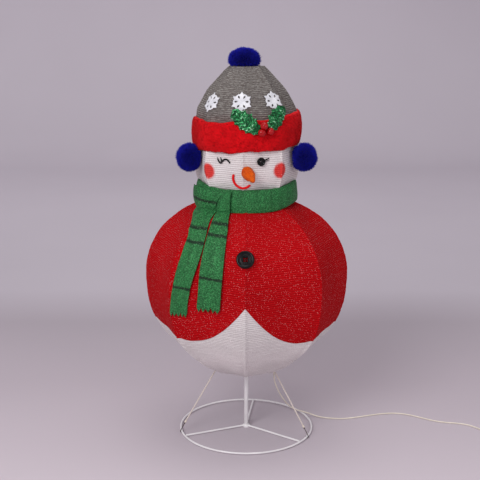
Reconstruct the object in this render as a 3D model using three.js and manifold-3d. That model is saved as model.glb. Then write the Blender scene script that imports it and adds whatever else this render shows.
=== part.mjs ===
// A collapsible light-up yard snowman: fabric lanterns on sprung wire ribs, held on a telescopic pole
// over a wire stand. Millimetres, +Z up, origin on the floor under the pole, the face looks along -Y.
import * as THREE from "three";
import { ParametricGeometry } from "three/addons/geometries/ParametricGeometry.js";
import { mergeVertices } from "three/addons/utils/BufferGeometryUtils.js";
import Module from "manifold-3d";

const wasm = await Module();
wasm.setup();

const degrees = THREE.MathUtils.degToRad;
const at3 = (x, y, z) => new THREE.Vector3(x, y, z);

// ---- Driving dimensions ----
const GAP = 0.3; // between pieces that touch
const RIB_COUNT = 8;
const RIB_PITCH = (2 * Math.PI) / RIB_COUNT;
const BODY_TURN = degrees(-1); // where the first rib of the body stands, from the front
const HEAD_TURN = degrees(-4.4); // the head looks slightly to its right
const COVER = 2.5; // cover thickness
const RIB_WIRE = 1.5; // wire radii
const HOOP_WIRE = 2;
const BASE_WIRE = 3;

const BOTTOM_Z = 216; // the bottom hoop
const NECK_Z = 760; // the neck hoop, where body and head meet
const SEAM_Z = 1000; // head cover to hat cover, under the cuff
const CROWN_Z = 1163; // the top edge of the hat cover

// Outlines as [radius, height], at the ribs.
const BODY_OUTLINE = [
  [104, 214], [196, 270], [262, 335], [299, 405], [313, 490],
  [308, 574], [271, 656], [205, 718], [125, 758],
];
const HEAD_OUTLINE = [
  [124, 762], [141, 800], [154, 834], [160, 870], [159, 905],
  [153, 945], [152, 1005], [149, 1035], [134, 1064], [117, 1093],
  [92, 1122], [63, 1152], [50, 1164],
];

const POLE_RADIUS = 7; // the lower, outer tube
const POLE_WALL = 0.8;
const POLE_TOP = 620;
const INNER_POLE_RADIUS = 6.1;
const INNER_POLE_BOTTOM = 500;
const INNER_POLE_TOP = 1157;

const BASE_RADIUS = 213;
const SPOKE_ANGLES = [-67, 53, 173].map((a) => degrees(a));
const TIE_ANGLES = [-77, 65, 180].map((a) => degrees(a));
const TIE_NAMES = ["left", "right", "rear"];
const TIE_CORD = 2; // radius of the elastic cord

const LEAD_RADIUS = 2.25;

// ---- Small helpers ----

// A point at a radius and height, at an angle from the front towards +X.
const polar = (radius, angle, z) =>
  new THREE.Vector3(radius * Math.sin(angle), -radius * Math.cos(angle), z);

// Radius as a smooth function of height, from an outline that climbs.
function profile(outline) {
  const curve = new THREE.SplineCurve(outline.map(([r, z]) => new THREE.Vector2(r, z)));
  const points = curve.getPoints(240);
  return (z) => {
    const above = points.findIndex((p) => p.y >= z);
    if (above === 0) return points[0].x;
    if (above < 0) return points[points.length - 1].x;
    const a = points[above - 1];
    const b = points[above];
    return a.x + ((b.x - a.x) * (z - a.y)) / (b.y - a.y);
  };
}

const bodyRadius = profile(BODY_OUTLINE);
const headRadius = profile(HEAD_OUTLINE);

// How far a flat panel between two ribs pulls in at an angle: 1 at a rib, less between.
function panel(angle, turn) {
  const across = THREE.MathUtils.euclideanModulo(angle - turn, RIB_PITCH) - RIB_PITCH / 2;
  return Math.cos(RIB_PITCH / 2) / Math.cos(across);
}

// Cover surfaces: eight panels, rounding off to the round hoops at both ends.
function lanternSurface(radius, turn, low, high, ease) {
  return (angle, z) => {
    const fromEnd = Math.min(z - low, high - z);
    const flat = THREE.MathUtils.smoothstep(fromEnd, 0, ease);
    return radius(z) * THREE.MathUtils.lerp(1, panel(angle, turn), flat);
  };
}
const bodySurface = lanternSurface(bodyRadius, BODY_TURN, BOTTOM_Z, NECK_Z, 60);
const headSurface = lanternSurface(headRadius, HEAD_TURN, NECK_Z, CROWN_Z, 45);

// A closed geometry with shared vertices and its faces pointing out.
function closed(geometry) {
  const bare = geometry.index ? geometry.toNonIndexed() : geometry.clone();
  bare.deleteAttribute("normal");
  bare.deleteAttribute("uv");
  const merged = mergeVertices(bare, 1e-3);
  const p = merged.attributes.position;
  const index = merged.index.array;
  const [a, b, c] = [new THREE.Vector3(), new THREE.Vector3(), new THREE.Vector3()];
  let volume = 0;
  for (let i = 0; i < index.length; i += 3) {
    a.fromBufferAttribute(p, index[i]);
    b.fromBufferAttribute(p, index[i + 1]);
    c.fromBufferAttribute(p, index[i + 2]);
    volume += a.dot(b.cross(c));
  }
  if (volume < 0) {
    for (let i = 0; i < index.length; i += 3) [index[i + 1], index[i + 2]] = [index[i + 2], index[i + 1]];
  }
  return merged;
}

function toManifold(geometry) {
  const g = closed(geometry);
  return new wasm.Manifold(
    new wasm.Mesh({
      numProp: 3,
      vertProperties: g.attributes.position.array,
      triVerts: new Uint32Array(g.index.array),
    }),
  );
}

function fromManifold(solid) {
  const mesh = solid.getMesh();
  const g = new THREE.BufferGeometry();
  g.setAttribute("position", new THREE.BufferAttribute(mesh.vertProperties, 3));
  g.setIndex(new THREE.BufferAttribute(mesh.triVerts, 1));
  return g;
}

const join = (...geometries) => fromManifold(geometries.map(toManifold).reduce((a, b) => a.add(b)));
const cut = (geometry, ...tools) =>
  fromManifold(tools.map(toManifold).reduce((a, b) => a.subtract(b), toManifold(geometry)));

// A shape turned about the vertical: points are [radius, height].
function turned(points, segments = 24) {
  const g = new THREE.LatheGeometry(points.map(([r, z]) => new THREE.Vector2(r, z)), segments);
  return g.rotateX(Math.PI / 2);
}

// A hollow round tube standing on the axis.
const pipe = (outer, inner, low, high, segments) =>
  turned([[inner, low], [outer, low], [outer, high], [inner, high], [inner, low]], segments);

// A wire hoop with flats above and below.
function hoop(radius, wire, z, segments = 32) {
  const corner = wire / Math.cos(Math.PI / 6);
  const section = [];
  for (let i = 0; i <= 6; i++) {
    const a = (i * Math.PI) / 3;
    section.push([radius + corner * Math.cos(a), z + corner * Math.sin(a)]);
  }
  return turned(section, segments);
}

// A round wire, cord or tube along a curve.
function wire(curve, radius, steps, sides = 6) {
  const shape = new THREE.Shape();
  for (let i = 0; i < sides; i++) {
    const a = (2 * Math.PI * i) / sides;
    if (i === 0) shape.moveTo(radius, 0);
    else shape.lineTo(radius * Math.cos(a), radius * Math.sin(a));
  }
  return new THREE.ExtrudeGeometry(shape, { steps, bevelEnabled: false, extrudePath: curve });
}

// A cylinder or cone between two points.
function rod(from, to, radius, endRadius = radius, sides = 12) {
  const length = from.distanceTo(to);
  const g = new THREE.CylinderGeometry(endRadius, radius, length, sides);
  const turn = new THREE.Quaternion().setFromUnitVectors(
    new THREE.Vector3(0, 1, 0),
    to.clone().sub(from).normalize(),
  );
  const middle = from.clone().add(to).multiplyScalar(0.5);
  return g.applyQuaternion(turn).translate(middle.x, middle.y, middle.z);
}

// A flat shape made thick, its back at z = 0.
const plate = (shape, thickness) =>
  new THREE.ExtrudeGeometry(shape, { depth: thickness, bevelEnabled: false, curveSegments: 8 });

// ---- Sheet and band shapes ----

// A closed wall round the axis, between two surfaces and two edge heights.
function band({ low, high, outer, inner, turn = BODY_TURN, slices = 32, rows = 6 }) {
  const stacks = 2 * rows + 2;
  return new ParametricGeometry(
    (u, v, target) => {
      const angle = 2 * Math.PI * u + turn;
      const step = Math.round(v * stacks) % stacks;
      const onOuter = step <= rows;
      const share = (onOuter ? step : stacks - 1 - step) / rows;
      const z = THREE.MathUtils.lerp(low(angle), high(angle), share);
      target.copy(polar(onOuter ? outer(angle, z) : inner(angle, z), angle, z));
    },
    slices,
    stacks,
  );
}

// The solid inside a surface, used to cut pieces that sit against it.
function core(surface, low, high, spare, slices = 32, rows = 20) {
  return new ParametricGeometry(
    (u, v, target) => {
      const angle = 2 * Math.PI * u + HEAD_TURN;
      const step = Math.round(v * (rows + 2));
      const z = THREE.MathUtils.lerp(low, high, THREE.MathUtils.clamp((step - 1) / rows, 0, 1));
      const onAxis = step === 0 || step === rows + 2;
      target.copy(polar(onAxis ? 0 : surface(angle, z) + spare, angle, z));
    },
    slices,
    rows + 2,
  );
}

// A strip that hangs down over a surface: centre angle and half width follow its length.
function strip({ top, bottom, angle, halfWidth, surface, lift, thickness, rows = 11, across = 3 }) {
  const g = new THREE.BoxGeometry(1, 1, 1, across, 1, rows);
  const p = g.attributes.position;
  for (let i = 0; i < p.count; i++) {
    const share = p.getZ(i) + 0.5;
    const z = THREE.MathUtils.lerp(bottom, top, share);
    const middle = angle(share);
    const radius = surface(middle, z);
    const at = middle + (2 * p.getX(i) * halfWidth(share)) / radius;
    const out = surface(at, z) + lift(share) + (p.getY(i) + 0.5) * thickness;
    const place = polar(out, at, z);
    p.setXYZ(i, place.x, place.y, place.z);
  }
  return g;
}

// Moves a geometry from its own flat frame onto a surface: +Z there becomes the outward normal.
function settle(geometry, surface, angle, z, lift, roll = 0) {
  const step = 2;
  const at = (a, h) => polar(surface(a, h), a, h);
  const tangent = at(angle + step / 100, z).sub(at(angle - step / 100, z)).normalize();
  const up = at(angle, z + step).sub(at(angle, z - step)).normalize();
  const normal = tangent.clone().cross(up).normalize();
  up.copy(normal).cross(tangent).normalize();
  const place = at(angle, z).addScaledVector(normal, lift);
  const frame = new THREE.Matrix4().makeBasis(tangent, up, normal).setPosition(place);
  return geometry.rotateZ(roll).applyMatrix4(frame);
}

// ---- Materials ----
const paint = (color, roughness, metalness = 0) =>
  new THREE.MeshStandardMaterial({ color, roughness, metalness });
const MATERIALS = {
  whiteSteel: paint(0xe9e6e4, 0.45),
  springSteel: paint(0xb9b9b9, 0.4, 0.9),
  hookSteel: paint(0x8c8c8c, 0.3, 1),
  blackPlastic: paint(0x1b1b1d, 0.35),
  clearPlastic: paint(0xdfe0e2, 0.5),
  coatFabric: paint(0xb5121a, 0.7),
  whiteFabric: paint(0xece5e2, 0.8),
  greyFabric: paint(0x77736f, 0.75),
  redPlush: paint(0xc4121d, 0.95),
  bluePlush: paint(0x15156b, 0.95),
  greenFabric: paint(0x1f7a3a, 0.65),
  greenTinsel: paint(0x14632f, 0.3, 0.5),
  redBead: paint(0xa90f14, 0.25),
  orangeFelt: paint(0xe2661a, 0.85),
  redCord: paint(0xd9141c, 0.6),
  whiteFelt: paint(0xf3f3f5, 0.8),
  elastic: paint(0xe6dfcf, 0.8),
  leadPvc: paint(0xe3dccb, 0.5),
};

const snowman = new THREE.Group();
function piece(name, geometry, material) {
  const mesh = new THREE.Mesh(closed(geometry), MATERIALS[material]);
  mesh.name = name;
  snowman.add(mesh);
}

// ---- The stand ----
const HOOK_WIRE = 1;
// Ring and spokes lie level, lifted off the floor by the hooks that pass under the ring.
const RING_Z = BASE_WIRE / Math.cos(Math.PI / 6) + 2 * HOOK_WIRE + 1.5 * GAP;
const HUB_TOP = RING_Z + BASE_WIRE;

function standPieces() {
  const HUB_RADIUS = 11;
  const SPIGOT_RADIUS = 5.6;
  const SPIGOT_TOP = 60;
  const hub = turned([[0, 0], [HUB_RADIUS, 0], [HUB_RADIUS, HUB_TOP], [SPIGOT_RADIUS, HUB_TOP],
    [SPIGOT_RADIUS, SPIGOT_TOP - 2], [SPIGOT_RADIUS - 2, SPIGOT_TOP], [0, SPIGOT_TOP]]);
  const spokes = SPOKE_ANGLES.map((angle) => {
    const flat = new THREE.CylinderGeometry(1, 1, 1, 8).rotateY(Math.PI / 8);
    const across = BASE_WIRE / Math.cos(Math.PI / 8);
    const length = BASE_RADIUS - BASE_WIRE - 4 * GAP - 4;
    flat.scale(across, length, across).translate(0, -4 - length / 2, 0);
    return flat.rotateZ(angle).translate(0, 0, RING_Z);
  });
  piece("base_spider", join(hub, ...spokes), "whiteSteel");
  piece("base_ring", hoop(BASE_RADIUS, BASE_WIRE, RING_Z, 48), "whiteSteel");
}

function polePieces() {
  const COLLAR_RADIUS = 12;
  const COLLAR_LOW = 598;
  const COLLAR_HIGH = 633;
  const SCREW_Z = 627;
  const SCREW_RADIUS = 2.4;
  const KNOB_INNER = 20;
  const KNOB_OUTER = 27;
  const tubing = (outer, low, high) => pipe(outer, outer - POLE_WALL, low, high, 20);
  piece("pole_lower", tubing(POLE_RADIUS, HUB_TOP + GAP, POLE_TOP), "whiteSteel");
  piece("pole_upper", tubing(INNER_POLE_RADIUS, INNER_POLE_BOTTOM, INNER_POLE_TOP), "whiteSteel");
  const shoulder = POLE_TOP + GAP;
  const collar = turned([
    [POLE_RADIUS + GAP, COLLAR_LOW], [COLLAR_RADIUS, COLLAR_LOW], [COLLAR_RADIUS, COLLAR_HIGH],
    [INNER_POLE_RADIUS + 0.5, COLLAR_HIGH], [INNER_POLE_RADIUS + 0.5, shoulder],
    [POLE_RADIUS + GAP, shoulder], [POLE_RADIUS + GAP, COLLAR_LOW],
  ]);
  const boss = rod(at3(8, 0, SCREW_Z), at3(16, 0, SCREW_Z), 5.2);
  const bore = rod(at3(0, 0, SCREW_Z), at3(18, 0, SCREW_Z), SCREW_RADIUS + 0.08);
  const innerBore = pipe(INNER_POLE_RADIUS + 0.5, 0.01, COLLAR_LOW - 1, COLLAR_HIGH + 1, 24);
  piece("clamp_collar", cut(join(collar, boss), bore, innerBore), "blackPlastic");

  const LOBES = 5;
  const outline = new THREE.Shape();
  const POINTS = 30;
  for (let i = 0; i < POINTS; i++) {
    const a = (2 * Math.PI * i) / POINTS;
    const r = 9.5 + 1.5 * Math.cos(LOBES * a);
    if (i === 0) outline.moveTo(r, 0);
    else outline.lineTo(r * Math.cos(a), r * Math.sin(a));
  }
  const knob = plate(outline, KNOB_OUTER - KNOB_INNER).rotateY(Math.PI / 2);
  knob.translate(KNOB_INNER, 0, SCREW_Z);
  const shank = rod(at3(INNER_POLE_RADIUS + GAP, 0, SCREW_Z), at3(KNOB_INNER + 1, 0, SCREW_Z), SCREW_RADIUS);
  piece("clamp_screw", join(knob, shank), "blackPlastic");
}

// ---- The lantern frames ----

// A rib's path just inside the cover, following the outline between two heights.
function ribPath(radius, angle, low, high) {
  const inset = COVER + GAP + RIB_WIRE + 1.7;
  const points = [];
  const STEPS = 14;
  for (let i = 0; i <= STEPS; i++) {
    const z = THREE.MathUtils.lerp(low, high, i / STEPS);
    const slope = (radius(z + 1) - radius(z - 1)) / 2;
    const scale = inset / Math.hypot(1, slope);
    points.push(polar(radius(z) - scale, angle, z + slope * scale));
  }
  return new THREE.CatmullRomCurve3(points);
}

function framePieces() {
  const hoopInset = COVER + GAP + HOOP_WIRE;
  const bottomHoop = bodyRadius(BOTTOM_Z) - hoopInset - 6;
  piece("bottom_hoop", hoop(bottomHoop, HOOP_WIRE, BOTTOM_Z), "springSteel");
  piece("neck_hoop", hoop(headRadius(NECK_Z) - hoopInset - 0.5, HOOP_WIRE, NECK_Z), "springSteel");

  const sleeve = pipe(11, POLE_RADIUS + 0.6, BOTTOM_Z - 8, BOTTOM_Z + 8, 24);
  const armEnd = bottomHoop - HOOP_WIRE - 5 * GAP;
  const arms = TIE_ANGLES.map((angle) =>
    rod(polar(9, angle, BOTTOM_Z), polar(armEnd, angle, BOTTOM_Z), HOOP_WIRE, HOOP_WIRE, 8),
  );
  piece("bottom_spider", join(sleeve, ...arms), "clearPlastic");

  for (let i = 0; i < RIB_COUNT; i++) {
    const bodyAngle = BODY_TURN + i * RIB_PITCH;
    const headAngle = HEAD_TURN + i * RIB_PITCH;
    const bodyPath = ribPath(bodyRadius, bodyAngle, BOTTOM_Z + 8, NECK_Z - 8);
    const headPath = ribPath(headRadius, headAngle, NECK_Z + 8, CROWN_Z - 8);
    piece(`body_rib_${i + 1}`, wire(bodyPath, RIB_WIRE, 14, 5), "springSteel");
    piece(`head_rib_${i + 1}`, wire(headPath, RIB_WIRE, 13, 5), "springSteel");
  }

  const CAP_RADIUS = 40;
  const SOCKET_OUTER = 9;
  const SOCKET_INNER = INNER_POLE_RADIUS + GAP;
  const SOCKET_LOW = 1128;
  const CAP_LOW = INNER_POLE_TOP + GAP;
  const CAP_HIGH = CROWN_Z - 1;
  piece("top_cap", turned([
    [0, CAP_LOW], [SOCKET_INNER, CAP_LOW], [SOCKET_INNER, SOCKET_LOW], [SOCKET_OUTER, SOCKET_LOW],
    [SOCKET_OUTER, CAP_LOW], [CAP_RADIUS, CAP_LOW], [CAP_RADIUS, CAP_HIGH], [0, CAP_HIGH],
  ]), "clearPlastic");
}

// ---- The covers ----
const HEM_Z = 366; // the coat's hem round the sides and back
const HEM_TILT = 6; // how much lower it hangs on the right
const HEM_RISE = 133; // how far the front opening climbs above it
const HEM_SPREAD = degrees(38); // half the angle that the opening takes

// The coat's lower edge: level, with a pointed opening at the front.
function hem(angle) {
  const fromFront = THREE.MathUtils.euclideanModulo(angle - BODY_TURN + Math.PI, 2 * Math.PI) - Math.PI;
  const away = Math.abs(fromFront);
  const share = THREE.MathUtils.clamp(1 - away / HEM_SPREAD, 0, 1);
  return HEM_Z - HEM_TILT * Math.sin(angle) + HEM_RISE * share ** 2.2;
}

function coverPieces() {
  const cover = (name, surface, turn, low, high, rows, material) => {
    const inner = (angle, z) => surface(angle, z) - COVER;
    piece(name, band({ low, high, outer: surface, inner, turn, rows }), material);
  };
  const half = GAP / 2;
  cover("skirt_cover", bodySurface, BODY_TURN, () => BOTTOM_Z - 2, (a) => hem(a) - half, 6, "whiteFabric");
  cover("coat_cover", bodySurface, BODY_TURN, (a) => hem(a) + half, () => NECK_Z - 3, 9, "coatFabric");
  cover("head_cover", headSurface, HEAD_TURN, () => NECK_Z + 3, () => SEAM_Z - half, 7, "whiteFabric");
  cover("hat_cover", headSurface, HEAD_TURN, () => SEAM_Z + half, () => CROWN_Z, 7, "greyFabric");
}

// The plush cuff sits a little higher on one side of the head.
const CUFF_LOW = 926;
const CUFF_HIGH = 1016;
const CUFF_TILT = 11;
const cuffLow = (angle) => CUFF_LOW + (CUFF_TILT / 2) * Math.sin(angle);
const cuffHigh = (angle) => CUFF_HIGH + CUFF_TILT * Math.sin(angle);
function cuffSurface(angle, z) {
  const share = THREE.MathUtils.clamp((z - cuffLow(angle)) / (CUFF_HIGH - CUFF_LOW), 0, 1);
  return 157.5 + 7 * Math.sqrt(Math.sin(Math.PI * share));
}

const COLLAR_LOW = 751;
const COLLAR_HIGH = 814;
const collarSurface = (angle, z) => 153 + 3 * ((COLLAR_HIGH - z) / (COLLAR_HIGH - COLLAR_LOW)) ** 2;

function woollens() {
  piece("hat_cuff", band({
    low: cuffLow, high: cuffHigh, outer: cuffSurface,
    inner: (a, z) => headSurface(a, z) + 0.8, turn: HEAD_TURN, rows: 4,
  }), "redPlush");
  const neck = (a, z) => Math.max(headRadius(Math.max(z, NECK_Z + 3)), z < NECK_Z ? bodyRadius(z) : 0);
  const collar = band({
    low: () => COLLAR_LOW, high: () => COLLAR_HIGH, rows: 3,
    outer: collarSurface, inner: (a, z) => neck(a, z) + 1,
  });
  const KNOT_ANGLE = degrees(-22.5);
  const knot = strip({
    top: COLLAR_HIGH - 4, bottom: COLLAR_LOW + 1, surface: collarSurface, angle: () => KNOT_ANGLE,
    halfWidth: (s) => 25 - 11 * s, lift: () => -1, thickness: 9, rows: 3,
  });
  piece("scarf_collar", join(collar, knot), "greenFabric");

  // The tails hang over the coat from under the collar.
  const TAIL = { top: COLLAR_LOW - 6, surface: bodySurface, lift: () => 6.5, thickness: 3 };
  piece("scarf_tail_left", strip({
    ...TAIL, bottom: 448, halfWidth: () => 30,
    angle: (s) => degrees(-41.3 + 3.9 * Math.sin((Math.PI * s) / 1.05) - 6 * s ** 8),
  }), "greenFabric");
  piece("scarf_tail_right", strip({
    ...TAIL, bottom: 474, halfWidth: (s) => 37 - 17 * s ** 4,
    angle: (s) => degrees(-22.6 + 1.8 * Math.sin((Math.PI * s) / 1.1) - 5 * s ** 8),
  }), "greenFabric");
}

function pompoms() {
  const head = core(headSurface, NECK_Z, CROWN_Z + 0.5, GAP);
  const cuff = core(cuffSurface, CUFF_LOW - CUFF_TILT, CUFF_HIGH + CUFF_TILT, 3 * GAP, 32, 8);
  const EAR = { x: 172, y: -62, z: 897, wide: 42, tall: 45 };
  for (const [name, side] of [["left", -1], ["right", 1]]) {
    const ball = new THREE.SphereGeometry(1, 14, 10).scale(EAR.wide, EAR.wide, EAR.tall);
    piece(`ear_pompom_${name}`, cut(ball.translate(side * EAR.x, EAR.y, EAR.z), head, cuff), "bluePlush");
  }
  const crown = new THREE.SphereGeometry(1, 14, 10).scale(47, 47, 36).translate(-8, 0, 1184);
  piece("hat_pompom", cut(crown, head), "bluePlush");
}

// ---- The face ----
const EYE_THICKNESS = 3;

// A curved stroke of even width, from one angle to another on a circle.
function arcStroke(radius, width, from, to) {
  const shape = new THREE.Shape();
  shape.absarc(0, 0, radius + width / 2, from, to, false);
  shape.absarc(0, 0, radius - width / 2, to, from, true);
  shape.closePath();
  return plate(shape, EYE_THICKNESS);
}

// A lash: a thin tapered bar from a point, leaning at an angle.
function lash(x, y, angle, length) {
  const shape = new THREE.Shape();
  shape.moveTo(0, -1.3);
  shape.lineTo(length, -0.5);
  shape.lineTo(length, 0.5);
  shape.lineTo(0, 1.3);
  shape.closePath();
  return plate(shape, EYE_THICKNESS).rotateZ(angle).translate(x, y, 0);
}

function facePieces() {
  const EYE_RADIUS = 13;
  const eye = new THREE.CylinderGeometry(EYE_RADIUS - 1.5, EYE_RADIUS, 4, 24).rotateX(Math.PI / 2);
  eye.translate(0, 0, 2);
  const eyeLashes = [lash(10, 3, degrees(20), 13), lash(9, 6, degrees(38), 13)];
  piece("eye_open", settle(join(eye, ...eyeLashes), headSurface, degrees(16), 895.5, GAP), "blackPlastic");

  const lid = arcStroke(13, 3.6, degrees(25), degrees(150)).translate(5, -11, 0);
  const winkLashes = [lash(-5, -4, degrees(118), 15), lash(-9, -6, degrees(132), 15)];
  const corner = arcStroke(5, 3.2, degrees(200), degrees(355)).translate(-8, -2.5, 0);
  const wink = join(lid, corner, ...winkLashes);
  piece("eye_wink", settle(wink, headSurface, degrees(-25), 899, GAP), "blackPlastic");

  const mouth = arcStroke(28.5, 5.5, degrees(157), degrees(320));
  piece("mouth", settle(mouth, headSurface, degrees(-4.4), 848, GAP), "redCord");

  // A soft carrot that droops to one side.
  const root = polar(headSurface(degrees(-0.5), 868) - 4, degrees(-0.5), 868);
  const aim = new THREE.Vector3(19, -60, -15).normalize();
  const outline = [[0, 0], [17, 0], [19, 10], [17.5, 24], [13.5, 40], [9, 54], [5, 64], [0, 70]];
  const carrot = new THREE.LatheGeometry(outline.map(([r, h]) => new THREE.Vector2(r, h)), 20);
  carrot.applyQuaternion(new THREE.Quaternion().setFromUnitVectors(new THREE.Vector3(0, 1, 0), aim));
  carrot.translate(root.x, root.y, root.z);
  piece("nose", cut(carrot, core(headSurface, NECK_Z, CROWN_Z, GAP)), "orangeFelt");
}

// ---- Trimmings ----
function snowflakeShape() {
  const TIP = 29.5;
  const HOLE = { at: 16.5, long: 6, wide: 3.4 };
  const outline = new THREE.Shape();
  const rim = [[0, TIP], [13, 24], [21, 26], [39, 26], [47, 24]];
  for (let arm = 0; arm < 6; arm++) {
    for (const [away, r] of rim) {
      const a = degrees(30 + 60 * arm + away);
      if (arm === 0 && away === 0) outline.moveTo(r * Math.cos(a), r * Math.sin(a));
      else outline.lineTo(r * Math.cos(a), r * Math.sin(a));
    }
    const slot = new THREE.Path();
    const a = degrees(60 * arm);
    const corners = [[HOLE.long, 0], [0, -HOLE.wide], [-HOLE.long, 0], [0, HOLE.wide]];
    const centre = new THREE.Vector2();
    slot.setFromPoints(corners.map(([x, y]) => new THREE.Vector2(HOLE.at + x, y).rotateAround(centre, a)));
    slot.closePath();
    outline.holes.push(slot);
  }
  outline.closePath();
  return outline;
}

function hollyShape(length, width) {
  const spines = 4;
  const outline = new THREE.Shape();
  outline.moveTo(-length / 2, 0);
  const side = (sign, order) => {
    for (const i of order) {
      const share = (i + 0.5) / spines;
      const x = (share - 0.5) * length;
      const out = (width / 2) * Math.sin(Math.PI * (0.12 + 0.76 * share)) ** 0.6;
      const before = x - (sign * length * 0.32) / spines;
      const after = x + (sign * length * 0.32) / spines;
      outline.lineTo(before, sign * out * 0.66);
      outline.lineTo(x + length * 0.03, sign * out);
      outline.lineTo(after, sign * out * 0.66);
    }
  };
  side(1, [0, 1, 2, 3]);
  outline.lineTo(length / 2, 0);
  side(-1, [3, 2, 1, 0]);
  outline.closePath();
  return outline;
}

function trimmings() {
  const SNOWFLAKES = [["left", -52, 1062], ["middle", -7, 1067], ["right", 36.5, 1068]];
  for (const [name, angle, z] of SNOWFLAKES) {
    const flake = plate(snowflakeShape(), 1.5);
    const round = (a, h) => headRadius(h);
    piece(`snowflake_${name}`, settle(flake, round, degrees(angle), z, 0.5), "whiteFelt");
  }
  const rim = () => 166;
  const leaf = (name, length, width, angle, z, roll) => {
    const flat = plate(hollyShape(length, width), 2);
    piece(name, settle(flat, rim, degrees(angle), z, 0.5, degrees(roll)), "greenTinsel");
  };
  leaf("holly_leaf_left", 92, 50, -1, 1012, -35);
  leaf("holly_leaf_right", 72, 48, 31, 1024, 52);
  const BERRY = 11.5;
  const berries = [[0, 12], [-9.5, -7], [11, -6]].map(([x, y]) =>
    new THREE.SphereGeometry(BERRY, 10, 7).translate(x, y, BERRY));
  piece("holly_berries", settle(join(...berries), rim, degrees(17.5), 992, 3.5), "redBead");
}

const BUTTON_Z = 634;
function buttonPiece() {
  const RADIUS = 25.5;
  const dish = new THREE.LatheGeometry(
    [[0, 0], [22, 0], [RADIUS, 2.5], [RADIUS, 5], [23, 7.5], [19, 7.5], [16, 4.5], [0, 4.5]]
      .map(([r, h]) => new THREE.Vector2(r, h)),
    24,
  ).rotateX(Math.PI / 2);
  const holes = [0, 1, 2, 3].map((i) => {
    const a = Math.PI / 4 + (i * Math.PI) / 2;
    const hole = new THREE.CylinderGeometry(2.6, 2.6, 30, 8).rotateX(Math.PI / 2);
    return hole.translate(6.2 * Math.cos(a), 6.2 * Math.sin(a), 0);
  });
  const round = (a, z) => bodyRadius(z);
  piece("coat_button", settle(cut(dish, ...holes), round, BODY_TURN, BUTTON_Z, 0.5), "blackPlastic");
}

// ---- Elastic ties from the bottom hoop to the base ring ----
function tiePieces() {
  const FERRULE = { radius: 3.4, length: 17 };
  const top = bodyRadius(BOTTOM_Z) - COVER - HOOP_WIRE - 6;
  TIE_ANGLES.forEach((angle, i) => {
    const outward = polar(1, angle, 0);
    const ring = polar(BASE_RADIUS, angle, RING_Z);
    const upper = polar(top, angle, BOTTOM_Z - HOOP_WIRE - TIE_CORD - 1);
    const along = upper.clone().sub(ring).normalize();
    const lean = Math.atan2(along.z, along.dot(outward));
    const wrap = BASE_WIRE / Math.cos(Math.PI / 6) + HOOK_WIRE + GAP;
    const onCircle = (a) =>
      ring.clone().addScaledVector(outward, wrap * Math.cos(a)).add(at3(0, 0, wrap * Math.sin(a)));
    const start = lean - Math.PI / 2;
    const points = [];
    for (const away of [24, 16, 8]) points.push(onCircle(start).addScaledVector(along, away));
    const TURN = degrees(215);
    for (let k = 0; k <= 8; k++) points.push(onCircle(start - (TURN * k) / 8));
    const hook = wire(new THREE.CatmullRomCurve3(points), HOOK_WIRE, 14, 5);
    const ferruleLow = points[0].clone().addScaledVector(along, -3);
    const ferruleHigh = ferruleLow.clone().addScaledVector(along, FERRULE.length);
    const ferrule = rod(ferruleLow, ferruleHigh, FERRULE.radius, FERRULE.radius, 8);
    piece(`tie_hook_${TIE_NAMES[i]}`, join(hook, ferrule), "hookSteel");
    const low = ferruleHigh.clone().addScaledVector(along, GAP);
    piece(`tie_cord_${TIE_NAMES[i]}`, rod(low, upper, TIE_CORD, TIE_CORD, 8), "elastic");
  });
}

// ---- Lights and lead ----
function lightString(radius, low, high, turns, inset) {
  const points = [];
  const PER_TURN = 12;
  for (let i = 0; i <= turns * PER_TURN; i++) {
    const share = i / (turns * PER_TURN);
    const z = THREE.MathUtils.lerp(low, high, share);
    points.push(polar(radius(z) * Math.cos(RIB_PITCH / 2) - inset, 2 * Math.PI * turns * share, z));
  }
  return wire(new THREE.CatmullRomCurve3(points), 1.2, turns * PER_TURN, 4);
}

// The lead's route from the strain relief to its coil.
const LEAD_EXIT = polar(92, degrees(76), 190);
const LEAD_ROUTE = [
  [90, -18, 168], [98, -4, 138], [114, 22, 98], [134, 50, 60], [154, 74, 33], [174, 88, 19], [194, 91, 13],
  [212, 85, 9.5], [236, 74, 4], [262, 65, 2.4], [296, 58, 2.4], [330, 57, 2.4], [375, 70, 2.4],
  [420, 87, 2.4], [466, 100, 2.4], [512, 103, 2.4], [555, 86, 2.4], [594, 58, 2.4], [628, 36, 2.4],
  [662, 25, 2.4], [700, 19, 2.4], [728, 7, 2.4], [749, -13, 2.4],
];
// Two layers of three turns, beside and on each other. Headings are in degrees.
const COIL = { x: 822, y: -62, radius: 25, layers: 2, arrives: -53, leaves: 62 };
const COIL_OUTER = COIL.radius + 3 * LEAD_RADIUS;
const COIL_INNER = COIL.radius - 3 * LEAD_RADIUS;
const STUB = 18; // straight lead between the last of the route and the coil's ring
const STUB_OUT = 24; // and between the ring and the plug

// The outermost turn runs anticlockwise, so its straight ends touch it on the right of their heading.
function coilTangent(heading, away, z) {
  const a = degrees(heading);
  const turn = COIL_OUTER - LEAD_RADIUS;
  const along = new THREE.Vector3(Math.cos(a), Math.sin(a), 0);
  const foot = new THREE.Vector3(COIL.x + turn * Math.sin(a), COIL.y - turn * Math.cos(a), z);
  return foot.addScaledVector(along, away);
}

const FLOOR_LEVEL = 2.4; // centre of the lead where it lies on the floor
const PLUG_LEVEL = 7.1; // centre of the plug

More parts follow.
